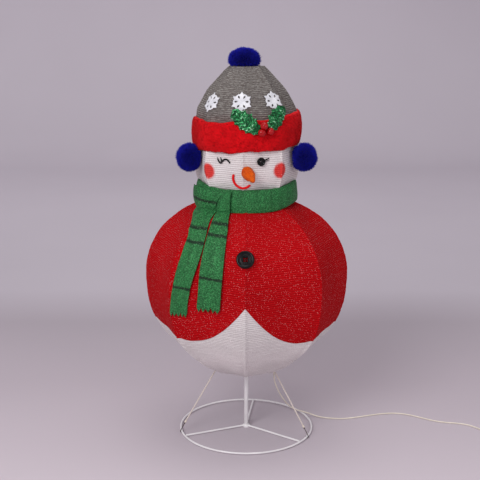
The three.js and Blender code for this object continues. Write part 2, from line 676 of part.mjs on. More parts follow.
function leadPieces() {
  piece("light_string_body", lightString(bodyRadius, 246, 738, 3, 14), "leadPvc");
  piece("light_string_head", lightString(headRadius, 786, 1128, 2, 13), "leadPvc");
  const reliefLow = LEAD_EXIT.clone().setZ(LEAD_EXIT.z + GAP);
  const reliefHigh = LEAD_EXIT.clone().setZ(BOTTOM_Z - HOOP_WIRE - 0.5 - GAP);
  piece("strain_relief", rod(reliefLow, reliefHigh, LEAD_RADIUS + 0.6, 4.6, 12), "leadPvc");

  const width = 2 * LEAD_RADIUS;
  const top = COIL.layers * width + 0.15;
  const ring = pipe(COIL_OUTER, COIL_INNER, 0.15, top, 32).translate(COIL.x, COIL.y, 0);
  const stub = (from, to) => rod(from, to, LEAD_RADIUS - 0.1, LEAD_RADIUS - 0.1, 8);
  const arriving = stub(
    coilTangent(COIL.arrives, -STUB, FLOOR_LEVEL),
    coilTangent(COIL.arrives, -5, FLOOR_LEVEL),
  );
  const leaving = stub(
    coilTangent(COIL.leaves, 5, top - LEAD_RADIUS - 0.5),
    coilTangent(COIL.leaves, STUB_OUT, PLUG_LEVEL),
  );
  piece("lead_coil", join(ring, arriving, leaving), "leadPvc");

  const end = coilTangent(COIL.arrives, -STUB - GAP, FLOOR_LEVEL);
  const beforeEnd = coilTangent(COIL.arrives, -STUB - 14, FLOOR_LEVEL);
  const route = LEAD_ROUTE.map((p) => new THREE.Vector3(...p));
  const start = [LEAD_EXIT.clone(), LEAD_EXIT.clone().setZ(180)];
  const path = new THREE.CatmullRomCurve3([...start, ...route, beforeEnd, end]);
  piece("lead_run", wire(path, LEAD_RADIUS, 80, 8), "leadPvc");
  piece("plug", plugGeometry(), "leadPvc");
}

// A flat two-pin plug lying beside the coil, its relief in line with the lead that leaves it.
function plugGeometry() {
  const THICK = 14;
  const RELIEF = 26;
  const shape = new THREE.Shape();
  shape.moveTo(-6, 0);
  shape.lineTo(6, 0);
  shape.lineTo(13, 16);
  shape.lineTo(13, 36);
  shape.lineTo(-13, 36);
  shape.lineTo(-13, 16);
  shape.closePath();
  const BEVEL = { bevelThickness: 2, bevelSize: 1.5, bevelSegments: 2, bevelOffset: -1.5 };
  const body = new THREE.ExtrudeGeometry(shape, { depth: THICK - 4, ...BEVEL }).translate(0, 0, 2);
  const middle = THICK / 2;
  const relief = rod(at3(0, -RELIEF, middle), at3(0, 2, middle), 3, 4.6);
  const pins = [-9.5, 9.5].map((x) => rod(at3(x, 34, middle), at3(x, 55, middle), 2));
  const place = coilTangent(COIL.leaves, STUB_OUT + 3 * GAP + RELIEF, 0.1);
  return join(body, relief, ...pins)
    .rotateZ(degrees(COIL.leaves - 90))
    .translate(place.x, place.y, place.z);
}

standPieces();
polePieces();
framePieces();
coverPieces();
woollens();
pompoms();
facePieces();
trimmings();
buttonPiece();
tiePieces();
leadPieces();

export default snowman;
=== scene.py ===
import math

import bmesh
import bpy
import numpy as np
from mathutils import Matrix, Vector, noise


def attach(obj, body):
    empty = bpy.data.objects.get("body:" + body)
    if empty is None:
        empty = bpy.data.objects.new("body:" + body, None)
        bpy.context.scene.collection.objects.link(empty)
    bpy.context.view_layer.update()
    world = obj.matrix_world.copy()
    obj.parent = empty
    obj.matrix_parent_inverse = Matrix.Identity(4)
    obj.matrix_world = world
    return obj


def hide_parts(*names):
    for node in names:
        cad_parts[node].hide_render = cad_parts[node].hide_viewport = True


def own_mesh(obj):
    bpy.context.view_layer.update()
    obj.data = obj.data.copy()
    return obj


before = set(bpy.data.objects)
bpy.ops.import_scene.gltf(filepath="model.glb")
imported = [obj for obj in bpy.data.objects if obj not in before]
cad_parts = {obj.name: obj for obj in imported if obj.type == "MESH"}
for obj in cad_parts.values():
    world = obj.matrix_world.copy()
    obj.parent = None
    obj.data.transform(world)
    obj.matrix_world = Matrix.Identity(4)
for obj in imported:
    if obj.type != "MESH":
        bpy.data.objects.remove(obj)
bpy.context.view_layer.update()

# A collapsible light-up snowman in metres: +Z up, the face looks along -Y.
# Angles run from the front (-Y) towards +X.

MM = 0.001
DEG = math.pi / 180
RNG = np.random.default_rng(11)

RIBS = 8
PITCH = 2 * math.pi / RIBS
BODY_TURN = -1 * DEG
HEAD_TURN = -4.4 * DEG
BOTTOM, NECK, SEAM, CROWN = 0.216, 0.760, 1.000, 1.163
GATHER = 0.040  # how far the hat is drawn in over its cap
YARN = 0.0063  # spacing of the yarn rows

bpy.context.scene.view_settings.view_transform = "Standard"


# ---- Camera ----
CAMERA_AT = (-0.0202, -2.949, 1.316)
CAMERA_DOWN = 13.15  # degrees below level
CAMERA_LENS = 72.6


def add_camera():
    data = bpy.data.cameras.new("camera")
    data.lens, data.sensor_width = CAMERA_LENS, 36
    data.clip_start, data.clip_end = 0.1, 60
    camera = bpy.data.objects.new("camera", data)
    camera.location = CAMERA_AT
    camera.rotation_euler = ((90 - CAMERA_DOWN) * DEG, 0, 0)
    bpy.context.scene.collection.objects.link(camera)
    bpy.context.scene.camera = camera


add_camera()


# ---- Outlines, as [radius, height] at the ribs ----
def smooth_curve(points, per_span=24):
    """Points on a Catmull-Rom curve through the given ones."""
    p = np.array(points, float)
    p = np.vstack([2 * p[0] - p[1], p, 2 * p[-1] - p[-2]])
    out = []
    for a, b, c, d in zip(p[:-3], p[1:-2], p[2:-1], p[3:]):
        t = np.linspace(0, 1, per_span, endpoint=False)[:, None]
        out.append(0.5 * (2 * b + (c - a) * t + (2 * a - 5 * b + 4 * c - d) * t**2
                          + (3 * b - a - 3 * c + d) * t**3))
    out.append(p[-2:-1])
    return np.vstack(out)


class Outline:
    """A lantern's radius as a smooth function of height, and its arc length."""

    def __init__(self, points):
        curve = smooth_curve(points) * MM
        self.r, self.z = curve[:, 0], np.maximum.accumulate(curve[:, 1])
        step = np.hypot(np.diff(self.r), np.diff(self.z))
        self.s = np.concatenate([[0], np.cumsum(step)])

    def radius(self, z):
        return np.interp(z, self.z, self.r)

    def arc(self, z):
        return np.interp(z, self.z, self.s)

    def height(self, s):
        return np.interp(s, self.s, self.z)

    def slope(self, z):
        step = 0.004
        return (self.radius(z + step) - self.radius(z - step)) / (2 * step)

    def shift(self, z, off):
        """How a distance off the outline changes its radius, and lowers it."""
        slope = self.slope(z)
        tilt = np.hypot(1, slope)
        return off / tilt, off * slope / tilt


BODY = Outline([
    (104, 214), (196, 270), (262, 335), (299, 405), (313, 490),
    (308, 574), (271, 656), (205, 718), (125, 758)])
HEAD = Outline([
    (124, 762), (141, 800), (154, 834), (160, 870), (159, 905),
    (153, 945), (152, 1005), (149, 1035), (134, 1064), (117, 1093),
    (92, 1122), (63, 1152), (50, 1164)])


def smoothstep(x, low, high):
    t = np.clip((x - low) / (high - low), 0, 1)
    return t * t * (3 - 2 * t)


def lerp(a, b, t):
    return a + (b - a) * t


def wrapped(angle):
    """The angle between -pi and pi."""
    return (angle + math.pi) % (2 * math.pi) - math.pi


def rib_distance(angle, turn):
    """The angle from the nearest rib."""
    across = (angle - turn) % PITCH
    return np.minimum(across, PITCH - across)


def lantern_radius(outline, turn, low, high, ease, pull):
    """Flat panels between the ribs, rounding off to the hoops at both ends."""
    def radius(angle, z):
        across = (angle - turn) % PITCH - PITCH / 2
        chord = math.cos(PITCH / 2) / np.cos(across)
        flat = smoothstep(np.minimum(z - low, high - z), 0, ease)
        return outline.radius(z) * lerp(1, chord, flat * pull)
    return radius


body_radius = lantern_radius(BODY, BODY_TURN, BOTTOM, NECK, 0.06, 1.0)
head_radius = lantern_radius(HEAD, HEAD_TURN, NECK, CROWN, 0.045, 0.72)


def polar(radius, angle, z):
    """Points at a radius, angle and height: one, or an array of them."""
    return np.stack(np.broadcast_arrays(radius * np.sin(angle), -radius * np.cos(angle), z), -1)


def ring_angles(count):
    return np.arange(count) * 2 * math.pi / count


def rough(points, scale, seed=0.0):
    """Smooth noise at each point, from -1 to 1."""
    flat = np.asarray(points).reshape(-1, 3) * scale + seed
    values = np.array([noise.noise(Vector(p)) for p in flat])
    return values.reshape(np.shape(points)[:-1])


# ---- Node materials ----
class Look:
    """A procedural material, built node by node. UVs are in metres."""

    def __init__(self, name, **sockets):
        self.material = bpy.data.materials.new(name)
        self.material.use_nodes = True
        self.tree = self.material.node_tree
        self.shader = self.tree.nodes["Principled BSDF"]
        for key, value in sockets.items():
            self.shader.inputs[key.replace("_", " ")].default_value = value

    def put(self, socket, value):
        if isinstance(value, bpy.types.NodeSocket):
            self.tree.links.new(value, socket)
        elif isinstance(value, bpy.types.Node):
            self.tree.links.new(value.outputs[0], socket)
        else:
            socket.default_value = value

    def node(self, kind, inputs=None, **settings):
        made = self.tree.nodes.new("ShaderNode" + kind)
        for key, value in settings.items():
            setattr(made, key, value)
        for key, value in (inputs or {}).items():
            self.put(made.inputs[key], value)
        return made

    def math(self, operation, a, b=0.0):
        return self.node("Math", {0: a, 1: b}, operation=operation)

    def times(self, a, b):
        return self.math("MULTIPLY", a, b)

    def add(self, a, b, share=None):
        """a + b, or a + b * share."""
        return self.math("ADD", a, b if share is None else self.times(b, share))

    def less(self, a, b, share):
        """a - b * share."""
        return self.math("SUBTRACT", a, self.times(b, share))

    def centred(self, value):
        """A value from 0 to 1, moved to lie about 0."""
        return self.math("SUBTRACT", value, 0.5)

    def wave(self, rows):
        """Rounded rows, one to each unit."""
        return self.math("ABSOLUTE", self.math("SINE", self.times(rows, math.pi)))

    def place(self):
        return self.node("TexCoord").outputs["Object"]

    def uv(self):
        return self.node("UVMap", uv_map="UVMap").outputs[0]

    def uv_part(self, index):
        return self.node("SeparateXYZ", {0: self.uv()}).outputs[index]

    def scaled(self, vector, scale):
        return self.node("Mapping", {0: vector, "Scale": scale})

    def noise(self, vector, scale, detail=3.0, roughness=0.55, **settings):
        return self.node("TexNoise", {"Vector": vector, "Scale": scale, "Detail": detail,
                                      "Roughness": roughness}, **settings)

    def weave(self, across, along, detail=3.0, roughness=0.55):
        """Noise over the cloth, with so many features to the metre each way."""
        return self.noise(self.scaled(self.uv(), (across, along, 1)), 1.0, detail, roughness)

    def cells(self, across, along):
        """Cells over the cloth, so many to the metre each way."""
        vector = self.scaled(self.uv(), (across, along, 1))
        return self.node("TexVoronoi", {"Vector": vector, "Scale": 1.0})

    def chance(self, cells):
        """A random value for each cell."""
        return self.node("SeparateColor", {0: cells.outputs["Color"]}).outputs[0]

    def sparkle(self, scale, share, size):
        """A mask of small scattered flecks, where glints are painted."""
        flecks = self.cells(scale, scale)
        lit = self.math("GREATER_THAN", self.chance(flecks), 1 - share)
        return self.times(lit, self.math("LESS_THAN", flecks.outputs["Distance"], size))

    def ramp(self, value, *stops):
        made = self.node("ValToRGB", {0: value})
        ramp = made.color_ramp
        while len(ramp.elements) < len(stops):
            ramp.elements.new(0.5)
        for element, (at, colour) in zip(ramp.elements, stops):
            element.position = at
            element.color = rgba(colour)
        return made

    def remap(self, value, low, high, at_low, at_high, **settings):
        return self.node("MapRange", {0: value, 1: low, 2: high, 3: at_low, 4: at_high}, **settings)

    def mask(self, value, low, high):
        """0 below low, 1 above high."""
        return self.remap(value, low, high, 0.0, 1.0, interpolation_type="SMOOTHSTEP")

    def mix(self, share, a, b, blend="MIX"):
        made = self.node("Mix", data_type="RGBA", blend_type=blend)
        self.put(made.inputs[0], share)
        for index, value in ((6, a), (7, b)):
            self.put(made.inputs[index], rgba(value) if isinstance(value, tuple) else value)
        return made.outputs[2]

    def shaded(self, base, patches, share, grey):
        """The base darkened in patches, towards a grey."""
        shade = self.ramp(patches, (0.3, (grey, grey, grey)), (0.7, (255, 255, 255)))
        return self.mix(share, base, shade, "MULTIPLY")

    def bump(self, height, strength, distance):
        return self.node("Bump", {"Height": height, "Strength": strength, "Distance": distance})

    def finish(self, colour, rough=None, normal=None):
        for name, value in (("Base Color", colour), ("Roughness", rough), ("Normal", normal)):
            if value is not None:
                self.put(self.shader.inputs[name], value)
        return self.material


def linear(value):
    return value / 12.92 if value <= 0.04045 else ((value + 0.055) / 1.055) ** 2.4


def rgba(colour):
    """A colour given as sRGB bytes, in linear light."""
    return (*(linear(c / 255) for c in colour), 1.0)


def yarn_look(name, colours, glints, glint_colour, seed=0.0, heather=None, tint=None):
    """Cloth of level yarn rows with metallic flecks painted as bright glints, and painted shade between the
    rows. V runs across the rows.
    """
    look = Look(name, Sheen_Weight=0.0, Specular_IOR_Level=0.06)
    wobble = look.weave(18, 60, 2.0)
    row = look.add(look.times(look.uv_part(1), 1 / YARN), look.centred(wobble), 0.35)
    rounded = look.math("POWER", look.wave(row), 0.6)
    twist = look.weave(420, 150, 3.0, 0.65)
    tuft = look.weave(95, 240, 2.0, 0.5)
    dark, middle, light = colours
    # Painted highlight and shade: the row crests lighten the colour and the grooves between rows darken it,
    # on top of the random twist.
    tone = look.add(look.times(twist, 0.65), rounded, 0.4)
    base = look.ramp(tone, (0.22, dark), (0.52, middle), (0.85, light))
    base = look.shaded(base, look.noise(look.place(), 5.0 + seed, 3.0, 0.5), 0.55, 215)
    if heather:
        strands = look.mask(look.weave(70, 330, 2.0, 0.7), 0.47, 0.56)
        base = look.mix(look.times(strands, 0.75), base, heather)
    if tint:
        base = tint(look, base)
    # Painted glints: small bright flecks of the glint colour, which are also less rough.
    spark = look.times(look.sparkle(620, glints, 0.36), 0.62)
    height = look.add(look.add(rounded, twist, 0.7), tuft, 0.5)
    return look.finish(look.mix(spark, base, glint_colour), look.less(0.9, spark, 0.5),
                       look.bump(height, 0.75, 0.0011))


CHEEKS = ((-47.5, 0.862), (39.5, 0.866))  # degrees round the face, and height
CHEEK_INNER, CHEEK_OUTER, CHEEK_RAGGED = 0.0185, 0.0285, 0.012


def airbrushed(look, base):
    """Two soft coral cheeks, sprayed on the yarn."""
    for degrees, z in CHEEKS:
        angle = degrees * DEG
        centre = tuple(polar(head_radius(angle, z), angle, z))
        away = look.node("VectorMath", {0: look.place(), 1: centre}, operation="DISTANCE")
        grain = look.noise(look.place(), 380.0, 3.0, 0.7)
        ragged = look.add(away.outputs["Value"], look.centred(grain), CHEEK_RAGGED)
        spray = look.remap(ragged, CHEEK_INNER, CHEEK_OUTER, 0.96, 0.0,
                           interpolation_type="SMOOTHSTEP")
        blotch = look.ramp(grain, (0.3, (200, 22, 20)), (0.7, (224, 56, 48)))
        base = look.mix(spray, base, blotch)
    return base


def plain_metal(name, colour, rough=0.3, metallic=1.0, scale=60.0):
    """Drawn or painted wire, with faint marks."""
    look = Look(name, Metallic=metallic)
    marks = look.noise(look.place(), scale, 5.0, 0.6)
    tone = tuple(max(0, c - 14) for c in colour)
    mixed = look.mix(look.mask(marks, 0.3, 0.75), tone, colour)
    return look.finish(mixed, look.add(rough - 0.1, marks, 0.22), look.bump(marks, 0.08, 0.0006))


def plastic(name, colour, rough, grain=240.0, coat=0.0, lighter=22, gloss=0.5):
    look = Look(name, Coat_Weight=coat, Specular_IOR_Level=gloss)
    specks = look.noise(look.place(), grain, 3.0, 0.6)
    worn = look.noise(look.place(), 25.0, 4.0, 0.6)
    light = tuple(min(255, c + lighter) for c in colour)
    mixed = look.mix(look.mask(worn, 0.4, 0.8), colour, light)
    return look.finish(mixed, look.add(rough - 0.06, worn, 0.16), look.bump(specks, 0.12, 0.0003))


def pile_look(name, root, tip, patch):
    """Plush or pompom pile: painted shade makes it darker at the roots (V = 0) than at the tips (V = 1)."""
    look = Look(name, Roughness=0.95, Sheen_Weight=0.03, Specular_IOR_Level=0.1)
    # Painted shade: the root colour at V = 0, fading to the tip colour.
    mixed = look.mix(look.mask(look.uv_part(1), 0.0, 0.95), root, tip)
    tuft = look.noise(look.place(), 130.0, 4.0, 0.65)
    mixed = look.mix(look.mask(tuft, 0.42, 0.75), mixed, patch)
    mixed = look.shaded(mixed, look.noise(look.place(), 22.0, 3.0, 0.5), 0.5, 190)
    fuzz = look.noise(look.place(), 900.0, 3.0, 0.7)
    height = look.add(look.times(tuft, 0.8), fuzz)
    return look.finish(mixed, None, look.bump(height, 0.8, 0.0016))


def knit_look(name, stripes=()):
    """Metallic green knit, with dark stitched stripes at the given V."""
    look = Look(name, Sheen_Weight=0.02, Specular_IOR_Level=0.25)
    fine = look.weave(520, 520, 3.0, 0.75)
    loops = look.cells(330, 420).outputs["Distance"]
    tone = look.add(look.times(fine, 0.75), loops, 0.45)
    base = look.ramp(tone, (0.3, (4, 34, 15)), (0.52, (14, 84, 38)), (0.78, (60, 148, 82)))
    base = look.shaded(base, look.weave(60, 9, 2.0, 0.5), 0.6, 186)
    waver = look.weave(260, 260, 2.0, 0.6)
    level = look.add(look.uv_part(1), look.centred(waver), 0.013)
    band = None
    for stripe in stripes:
        away = look.math("ABSOLUTE", look.math("SUBTRACT", level, stripe))
        near = look.remap(away, 0.0026, 0.0054, 0.92, 0.0)
        band = near if band is None else look.math("MAXIMUM", band, near)
    if band is not None:
        base = look.mix(band, base, (5, 28, 13))
    # Painted glints: light green flecks with lower roughness on the metallic knit.
    spark = look.times(look.sparkle(640, 0.12, 0.4), 0.5)
    return look.finish(look.mix(spark, base, (130, 200, 140)), look.less(0.62, spark, 0.35),
                       look.bump(look.add(fine, loops), 0.7, 0.0011))


def felt_look(name, dark, light, crease_shade=None):
    """Pressed felt: short matted fibres, with optional darker creases painted in as shade."""
    look = Look(name, Roughness=0.92, Sheen_Weight=0.04, Specular_IOR_Level=0.15)
    fibres = look.noise(look.place(), 420.0, 5.0, 0.7, noise_type="RIDGED_MULTIFRACTAL")
    clouds = look.noise(look.place(), 45.0, 4.0, 0.6)
    tone = look.add(look.times(look.mask(fibres, 0.0, 1.2), 0.35), clouds, 0.75)
    mixed = look.ramp(tone, (0.3, dark), (0.65, light))
    if crease_shade:
        # Painted shade along thin wandering crease lines.
        lines = look.noise(look.scaled(look.place(), (90, 90, 150)), 1.0, 3.0, 0.6)
        crease = look.math("ABSOLUTE", look.centred(lines))
        mixed = look.mix(look.remap(crease, 0.0, 0.035, 0.55, 0.0), mixed, crease_shade)
    return look.finish(mixed, None, look.bump(look.add(fibres, clouds), 0.45, 0.0007))


def foil_look():
    """Crinkled green foil sequins, some of them catching the light."""
    look = Look("green_foil", Metallic=0.55)
    chips = look.chance(look.cells(420, 210))
    sheets = look.weave(70, 26, 2.0, 0.5)
    tone = look.add(look.times(chips, 0.5), sheets, 0.72)
    colour = look.ramp(tone, (0.3, (5, 44, 22)), (0.58, (16, 96, 50)), (0.80, (44, 150, 84)),
                       (0.95, (190, 240, 204)))
    height = look.add(chips, sheets, 2.0)
    return look.finish(colour, look.add(0.22, chips, 0.2), look.bump(height, 0.9, 0.0012))


def cord_look(name, dark, light, pitch):
    """Twisted or braided cord. U runs round it, V along it."""
    look = Look(name, Roughness=0.8, Sheen_Weight=0.04, Specular_IOR_Level=0.2)
    across = look.times(look.uv_part(0), 2 / pitch)
    strand = look.wave(look.add(across, look.uv_part(1), 1 / pitch))
    fibre = look.weave(900, 900, 3.0, 0.7)
    # Painted shade: the strand crests are lighter and the grooves between strands darker.
    tone = look.add(look.times(strand, 0.6), fibre, 0.5)
    mixed = look.ramp(tone, (0.2, dark), (0.7, light))
    return look.finish(mixed, None, look.bump(look.add(strand, fibre), 0.6, 0.0006))


# Yarn colours as dark, middle and light. The ramp runs on the row crests as well as on random twist, so the
# dark is partly painted shade between the rows and the light partly a painted highlight on their crests.
RED = ((106, 0, 5), (168, 4, 11), (200, 19, 26))
WHITE = ((158, 149, 151), (216, 207, 207), (240, 235, 234))
GREY = ((58, 54, 52), (114, 110, 107), (156, 151, 146))
LOOKS = {
    "coat": yarn_look("coat_yarn", RED, 0.085, (232, 190, 190)),
    "skirt": yarn_look("white_yarn", WHITE, 0.05, (255, 252, 250), 1.3),
    "face": yarn_look("face_yarn", WHITE, 0.04, (255, 252, 250), 0.7, tint=airbrushed),
    "hat": yarn_look("grey_yarn", GREY, 0.06, (205, 198, 184), 2.1, heather=(82, 72, 70)),
    "red_plush": pile_look("red_plush", (160, 2, 8), (236, 16, 27), (208, 8, 16)),
    "blue_pile": pile_look("blue_pile", (5, 5, 74), (26, 30, 190), (14, 14, 142)),
    "collar": knit_look("green_knit"),
    "tail_left": knit_look("green_knit_left", (0.773, 0.704, 0.668, 0.539)),
    "tail_right": knit_look("green_knit_right", (0.719, 0.690, 0.575)),
    "foil": foil_look(),
    "felt": felt_look("white_felt", (206, 206, 212), (246, 246, 250)),
    "carrot": felt_look("orange_felt", (200, 72, 6), (240, 116, 20), crease_shade=(104, 32, 4)),
    "red_cord": cord_look("red_cord", (172, 4, 10), (236, 26, 30), 0.0045),
    "elastic": cord_look("elastic_cord", (186, 172, 162), (232, 220, 212), 0.003),
    "thread": cord_look("black_thread", (3, 3, 4), (22, 22, 25), 0.003),
    "bead": plastic("red_bead", (164, 2, 10), 0.16, 60.0, lighter=8, gloss=0.3),
    "white_steel": plain_metal("painted_wire", (246, 243, 244), 0.32, 0.0, 18.0),
    "spring_steel": plain_metal("spring_wire", (176, 176, 178)),
    "hook_steel": plain_metal("hook_wire", (88, 80, 66)),
    "black_plastic": plastic("black_plastic", (2, 2, 3), 0.2, lighter=4, gloss=0.22),
    "clear_plastic": plastic("moulded_nylon", (206, 206, 208), 0.42),
    "ferrule": plastic("ferrule_plastic", (224, 212, 198), 0.45),
    "lead_pvc": plastic("lead_pvc", (222, 213, 198), 0.42),
    "lamp": plastic("lamp_glass", (236, 232, 214), 0.12, 60.0, coat=0.4),
}


# ---- Mesh helpers ----
def link(obj):
    bpy.context.scene.collection.objects.link(obj)
    return obj


def mesh_object(name, points, faces, look, uvs=None):
    """A mesh from points and faces, with one UV per face corner where given."""
    mesh = bpy.data.meshes.new(name)
    mesh.from_pydata(np.asarray(points, float).tolist(), [], [tuple(map(int, f)) for f in faces])
    if uvs is not None:
        layer = mesh.uv_layers.new(name="UVMap")
        layer.data.foreach_set("uv", np.asarray(uvs, float).ravel())
    mesh.materials.append(LOOKS[look] if isinstance(look, str) else look)
    mesh.shade_smooth()
    return link(bpy.data.objects.new(name, mesh))


def grid_faces(rows, cols, wrap=False):
    """Quads of a grid of rows x cols points, and the grid corner of each face corner."""
    across = cols if wrap else cols - 1
    i, j = np.meshgrid(np.arange(rows - 1), np.arange(across), indexing="ij")
    row = np.stack([i, i, i + 1, i + 1], -1).reshape(-1, 4)
    col = np.stack([j, j + 1, j + 1, j], -1).reshape(-1, 4)
    return row * cols + col % cols, (row, col)


def grid_object(name, points, uvs, look, wrap=False):
    """A sheet from a grid of points [row, column]. uvs has one more column where it wraps."""
    faces, (row, col) = grid_faces(*points.shape[:2], wrap)
    obj = mesh_object(name, points.reshape(-1, 3), faces, look, uvs[row, col])
    clean(obj)
    return obj


def ring_uvs(angle, v, radius):
    """UVs of a grid that closes on itself, one column more than it has."""
    wide = np.concatenate([angle, angle[:, :1] + 2 * math.pi], 1)
    return np.stack([wide * radius, np.concatenate([v, v[:, :1]], 1)], -1)


def slab(name, points, thickness, uvs, look):
    """A closed sheet of even thickness, from its middle surface [row, column]."""
    along = np.gradient(points, axis=0)
    across = np.gradient(points, axis=1)
    normal = np.cross(across, along)
    normal /= np.maximum(np.linalg.norm(normal, axis=-1, keepdims=True), 1e-9)
    half = np.asarray(thickness)[..., None] / 2
    rows, cols = points.shape[:2]
    both = np.concatenate([points + normal * half, (points - normal * half)], 0)
    front, _ = grid_faces(rows, cols)
    back = front[:, ::-1] + rows * cols
    edge = np.concatenate([
        np.arange(cols), np.arange(1, rows) * cols + cols - 1,
        (rows - 1) * cols + np.arange(cols - 2, -1, -1), np.arange(rows - 2, 0, -1) * cols])
    following = np.roll(edge, -1)
    rim = np.stack([following, edge, edge + rows * cols, following + rows * cols], -1)
    flat = uvs.reshape(-1, 2)
    corner = np.concatenate([flat[front], flat[front][:, ::-1], flat[rim % (rows * cols)]])
    obj = mesh_object(name, both.reshape(-1, 3), np.concatenate([front, back, rim]), look, corner)
    clean(obj)
    return obj


WELD = 1e-6


def clean(obj):
    """Welds doubled points and turns the faces outwards."""
    bm = bmesh.new()
    bm.from_mesh(obj.data)
    bmesh.ops.remove_doubles(bm, verts=bm.verts, dist=WELD)
    bmesh.ops.dissolve_degenerate(bm, dist=WELD / 10, edges=bm.edges)
    bmesh.ops.recalc_face_normals(bm, faces=bm.faces)
    bm.to_mesh(obj.data)
    bm.free()


def joined(name, objects):
    """One piece from several, keeping their materials."""
    with bpy.context.temp_override(active_object=objects[0], selected_editable_objects=objects):
        bpy.ops.object.join()
    objects[0].name = name
    return objects[0]


def settle_on(obj, body, slot, *replaces):
    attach(obj, body)
    if replaces:
        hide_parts(*replaces)
    return obj


def lowered(obj):
    """Gives its own mesh to a piece that squashes towards the bottom hoop as the pole is lowered."""
    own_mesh(obj)
    return obj


def tube(name, path, radius, look, sides=10, closed=False, radii=None, flat=1.0, up=None):
    """A round tube along points; flat squeezes it along up. UV is in metres."""
    path = [Vector(p) for p in path]
    count = len(path)
    points, travelled = [], [0.0]
    side = None
    turns = [2 * math.pi * k / sides for k in range(sides)]
    for i, at in enumerate(path):
        before = path[i - 1] if closed or i else at
        after = path[(i + 1) % count] if closed or i < count - 1 else at
        along = (after - before).normalized()
        if up is not None:
            side = along.cross(up[i] if isinstance(up, list) else up).normalized()
        elif side is None:
            side = along.orthogonal().normalized()
        side = (side - along * side.dot(along)).normalized()
        other = along.cross(side)
        r = radii[i] if radii else radius
        points.append([at + (side * math.cos(a) + other * math.sin(a) * flat) * r for a in turns])
        if i:
            travelled.append(travelled[-1] + (at - path[i - 1]).length)
    if closed:
        points.append(points[0])
        travelled.append(travelled[-1] + (path[0] - path[-1]).length)
    grid = np.array([[tuple(p) for p in ring] for ring in points])
    around = np.arange(sides + 1) * 2 * math.pi * radius / sides
    uvs = np.stack(np.meshgrid(around, travelled, indexing="xy"), -1)
    faces, (row, col) = grid_faces(len(grid), sides, wrap=True)
    faces, corners = list(faces), list(uvs[row, col])
    points = grid.reshape(-1, 3)
    if not closed:
        for ring, order in ((0, -1), (len(grid) - 1, 1)):
            cap = (ring * sides + np.arange(sides))[::order]
            faces.append(cap)
            corners.append(np.zeros((sides, 2)))
    obj = mesh_object(name, points, faces, look, np.concatenate(corners))
    clean(obj)
    return obj


def rounded_radii(count, radius, ends=2):
    """Radii along a cord whose ends are rounded off."""
    out = [radius] * count
    for k in range(ends):
        share = math.sqrt(1 - (1 - (k + 0.35) / ends) ** 2)
        out[k] = out[-1 - k] = radius * share
    return out


def turned(name, outline, look, segments, place=None):
    """A shape turned about its own Z from [radius, height] points, then placed."""
    angle = ring_angles(segments)
    grid = np.stack([polar(r, angle, z) for r, z in outline])
    around = np.arange(segments + 1) * 2 * math.pi * max(r for r, _ in outline) / segments
    along = np.concatenate([[0], np.cumsum([math.dist(a, b) for a, b in zip(outline, outline[1:])])])
    uvs = np.stack(np.meshgrid(around, along, indexing="xy"), -1)
    obj = grid_object(name, grid, uvs, look, wrap=True)
    if place is not None:
        obj.data.transform(place)
    return obj


def surface_frame(surface, angle, z, lift=0.0, roll=0.0):
    """A frame on a surface whose Z is the outward normal and Y points up."""
    def at(a, h):
        return Vector(polar(surface(a, h), a, h))

    side = (at(angle + 0.02, z) - at(angle - 0.02, z)).normalized()
    up = (at(angle, z + 0.002) - at(angle, z - 0.002)).normalized()
    normal = side.cross(up).normalized()
    up = normal.cross(side).normalized()
    place = Matrix((side, up, normal)).transposed().to_4x4()
    place.translation = at(angle, z) + normal * lift
    return place @ Matrix.Rotation(roll, 4, "Z")


def along_surface(surface, stops, lift, per_span=10):
    """A smooth path over a surface, through [degrees, millimetres up], lifted off it."""
    curve = smooth_curve(stops, per_span)
    frames = [surface_frame(surface, a * DEG, h * MM, lift) for a, h in curve]
    return [f.translation for f in frames], [f.col[2].to_3d() for f in frames]


# ---- The power lead ----
LEAD_RADIUS = 2.25 * MM
COIL = {"x": 0.822, "y": -0.062, "radius": 0.025, "arrives": -53 * DEG, "leaves": 62 * DEG}
FLOOR_LEVEL, PLUG_LEVEL = 2.4 * MM, 7.1 * MM
STUB_OUT = 0.024
LEAD_EXIT = Vector(polar(0.092, 76 * DEG, 0.190))
LEAD_DROP = [(90, -18, 168), (98, -4, 138), (114, 22, 98), (134, 50, 60), (154, 74, 33), (174, 88, 19),
             (194, 91, 13), (212, 85, 9.5), (236, 74, 4)]
LEAD_ON_FLOOR = [(262, 65), (296, 58), (330, 57), (375, 70), (420, 87), (466, 100), (512, 103), (555, 86),
                 (594, 58), (628, 36), (662, 25), (700, 19), (728, 7), (749, -13)]
COIL_STEPS = 24  # points to a turn


def coil_tangent(heading, away, z):
    """A point on the straight that touches the outermost turn, that far past the touch."""
    turn = COIL["radius"] + 2 * LEAD_RADIUS
    return (COIL["x"] + turn * math.sin(heading) + away * math.cos(heading),
            COIL["y"] - turn * math.cos(heading) + away * math.sin(heading), z)


def coil_points():
    """Three turns inwards on the floor, then up and three turns outwards on top of them."""
    width = 2 * LEAD_RADIUS
    start = COIL["arrives"] - math.pi / 2
    whole = 5 + (COIL["leaves"] - COIL["arrives"]) / (2 * math.pi)
    out = []
    steps = int(round(whole * COIL_STEPS))
    for i in range(1, steps):
        turn = i / COIL_STEPS
        inward = smoothstep(turn, 0.75, 1.0) + smoothstep(turn, 1.75, 2.0)
        outward = smoothstep(turn, 3.25, 3.5) + smoothstep(turn, 4.25, 4.5)
        r = COIL["radius"] + width * (1 - inward + outward)
        z = FLOOR_LEVEL + width * smoothstep(turn, 2.5, 2.75)
        a = start + 2 * math.pi * turn
        out.append((COIL["x"] + r * math.cos(a), COIL["y"] + r * math.sin(a), float(z)))
    return out


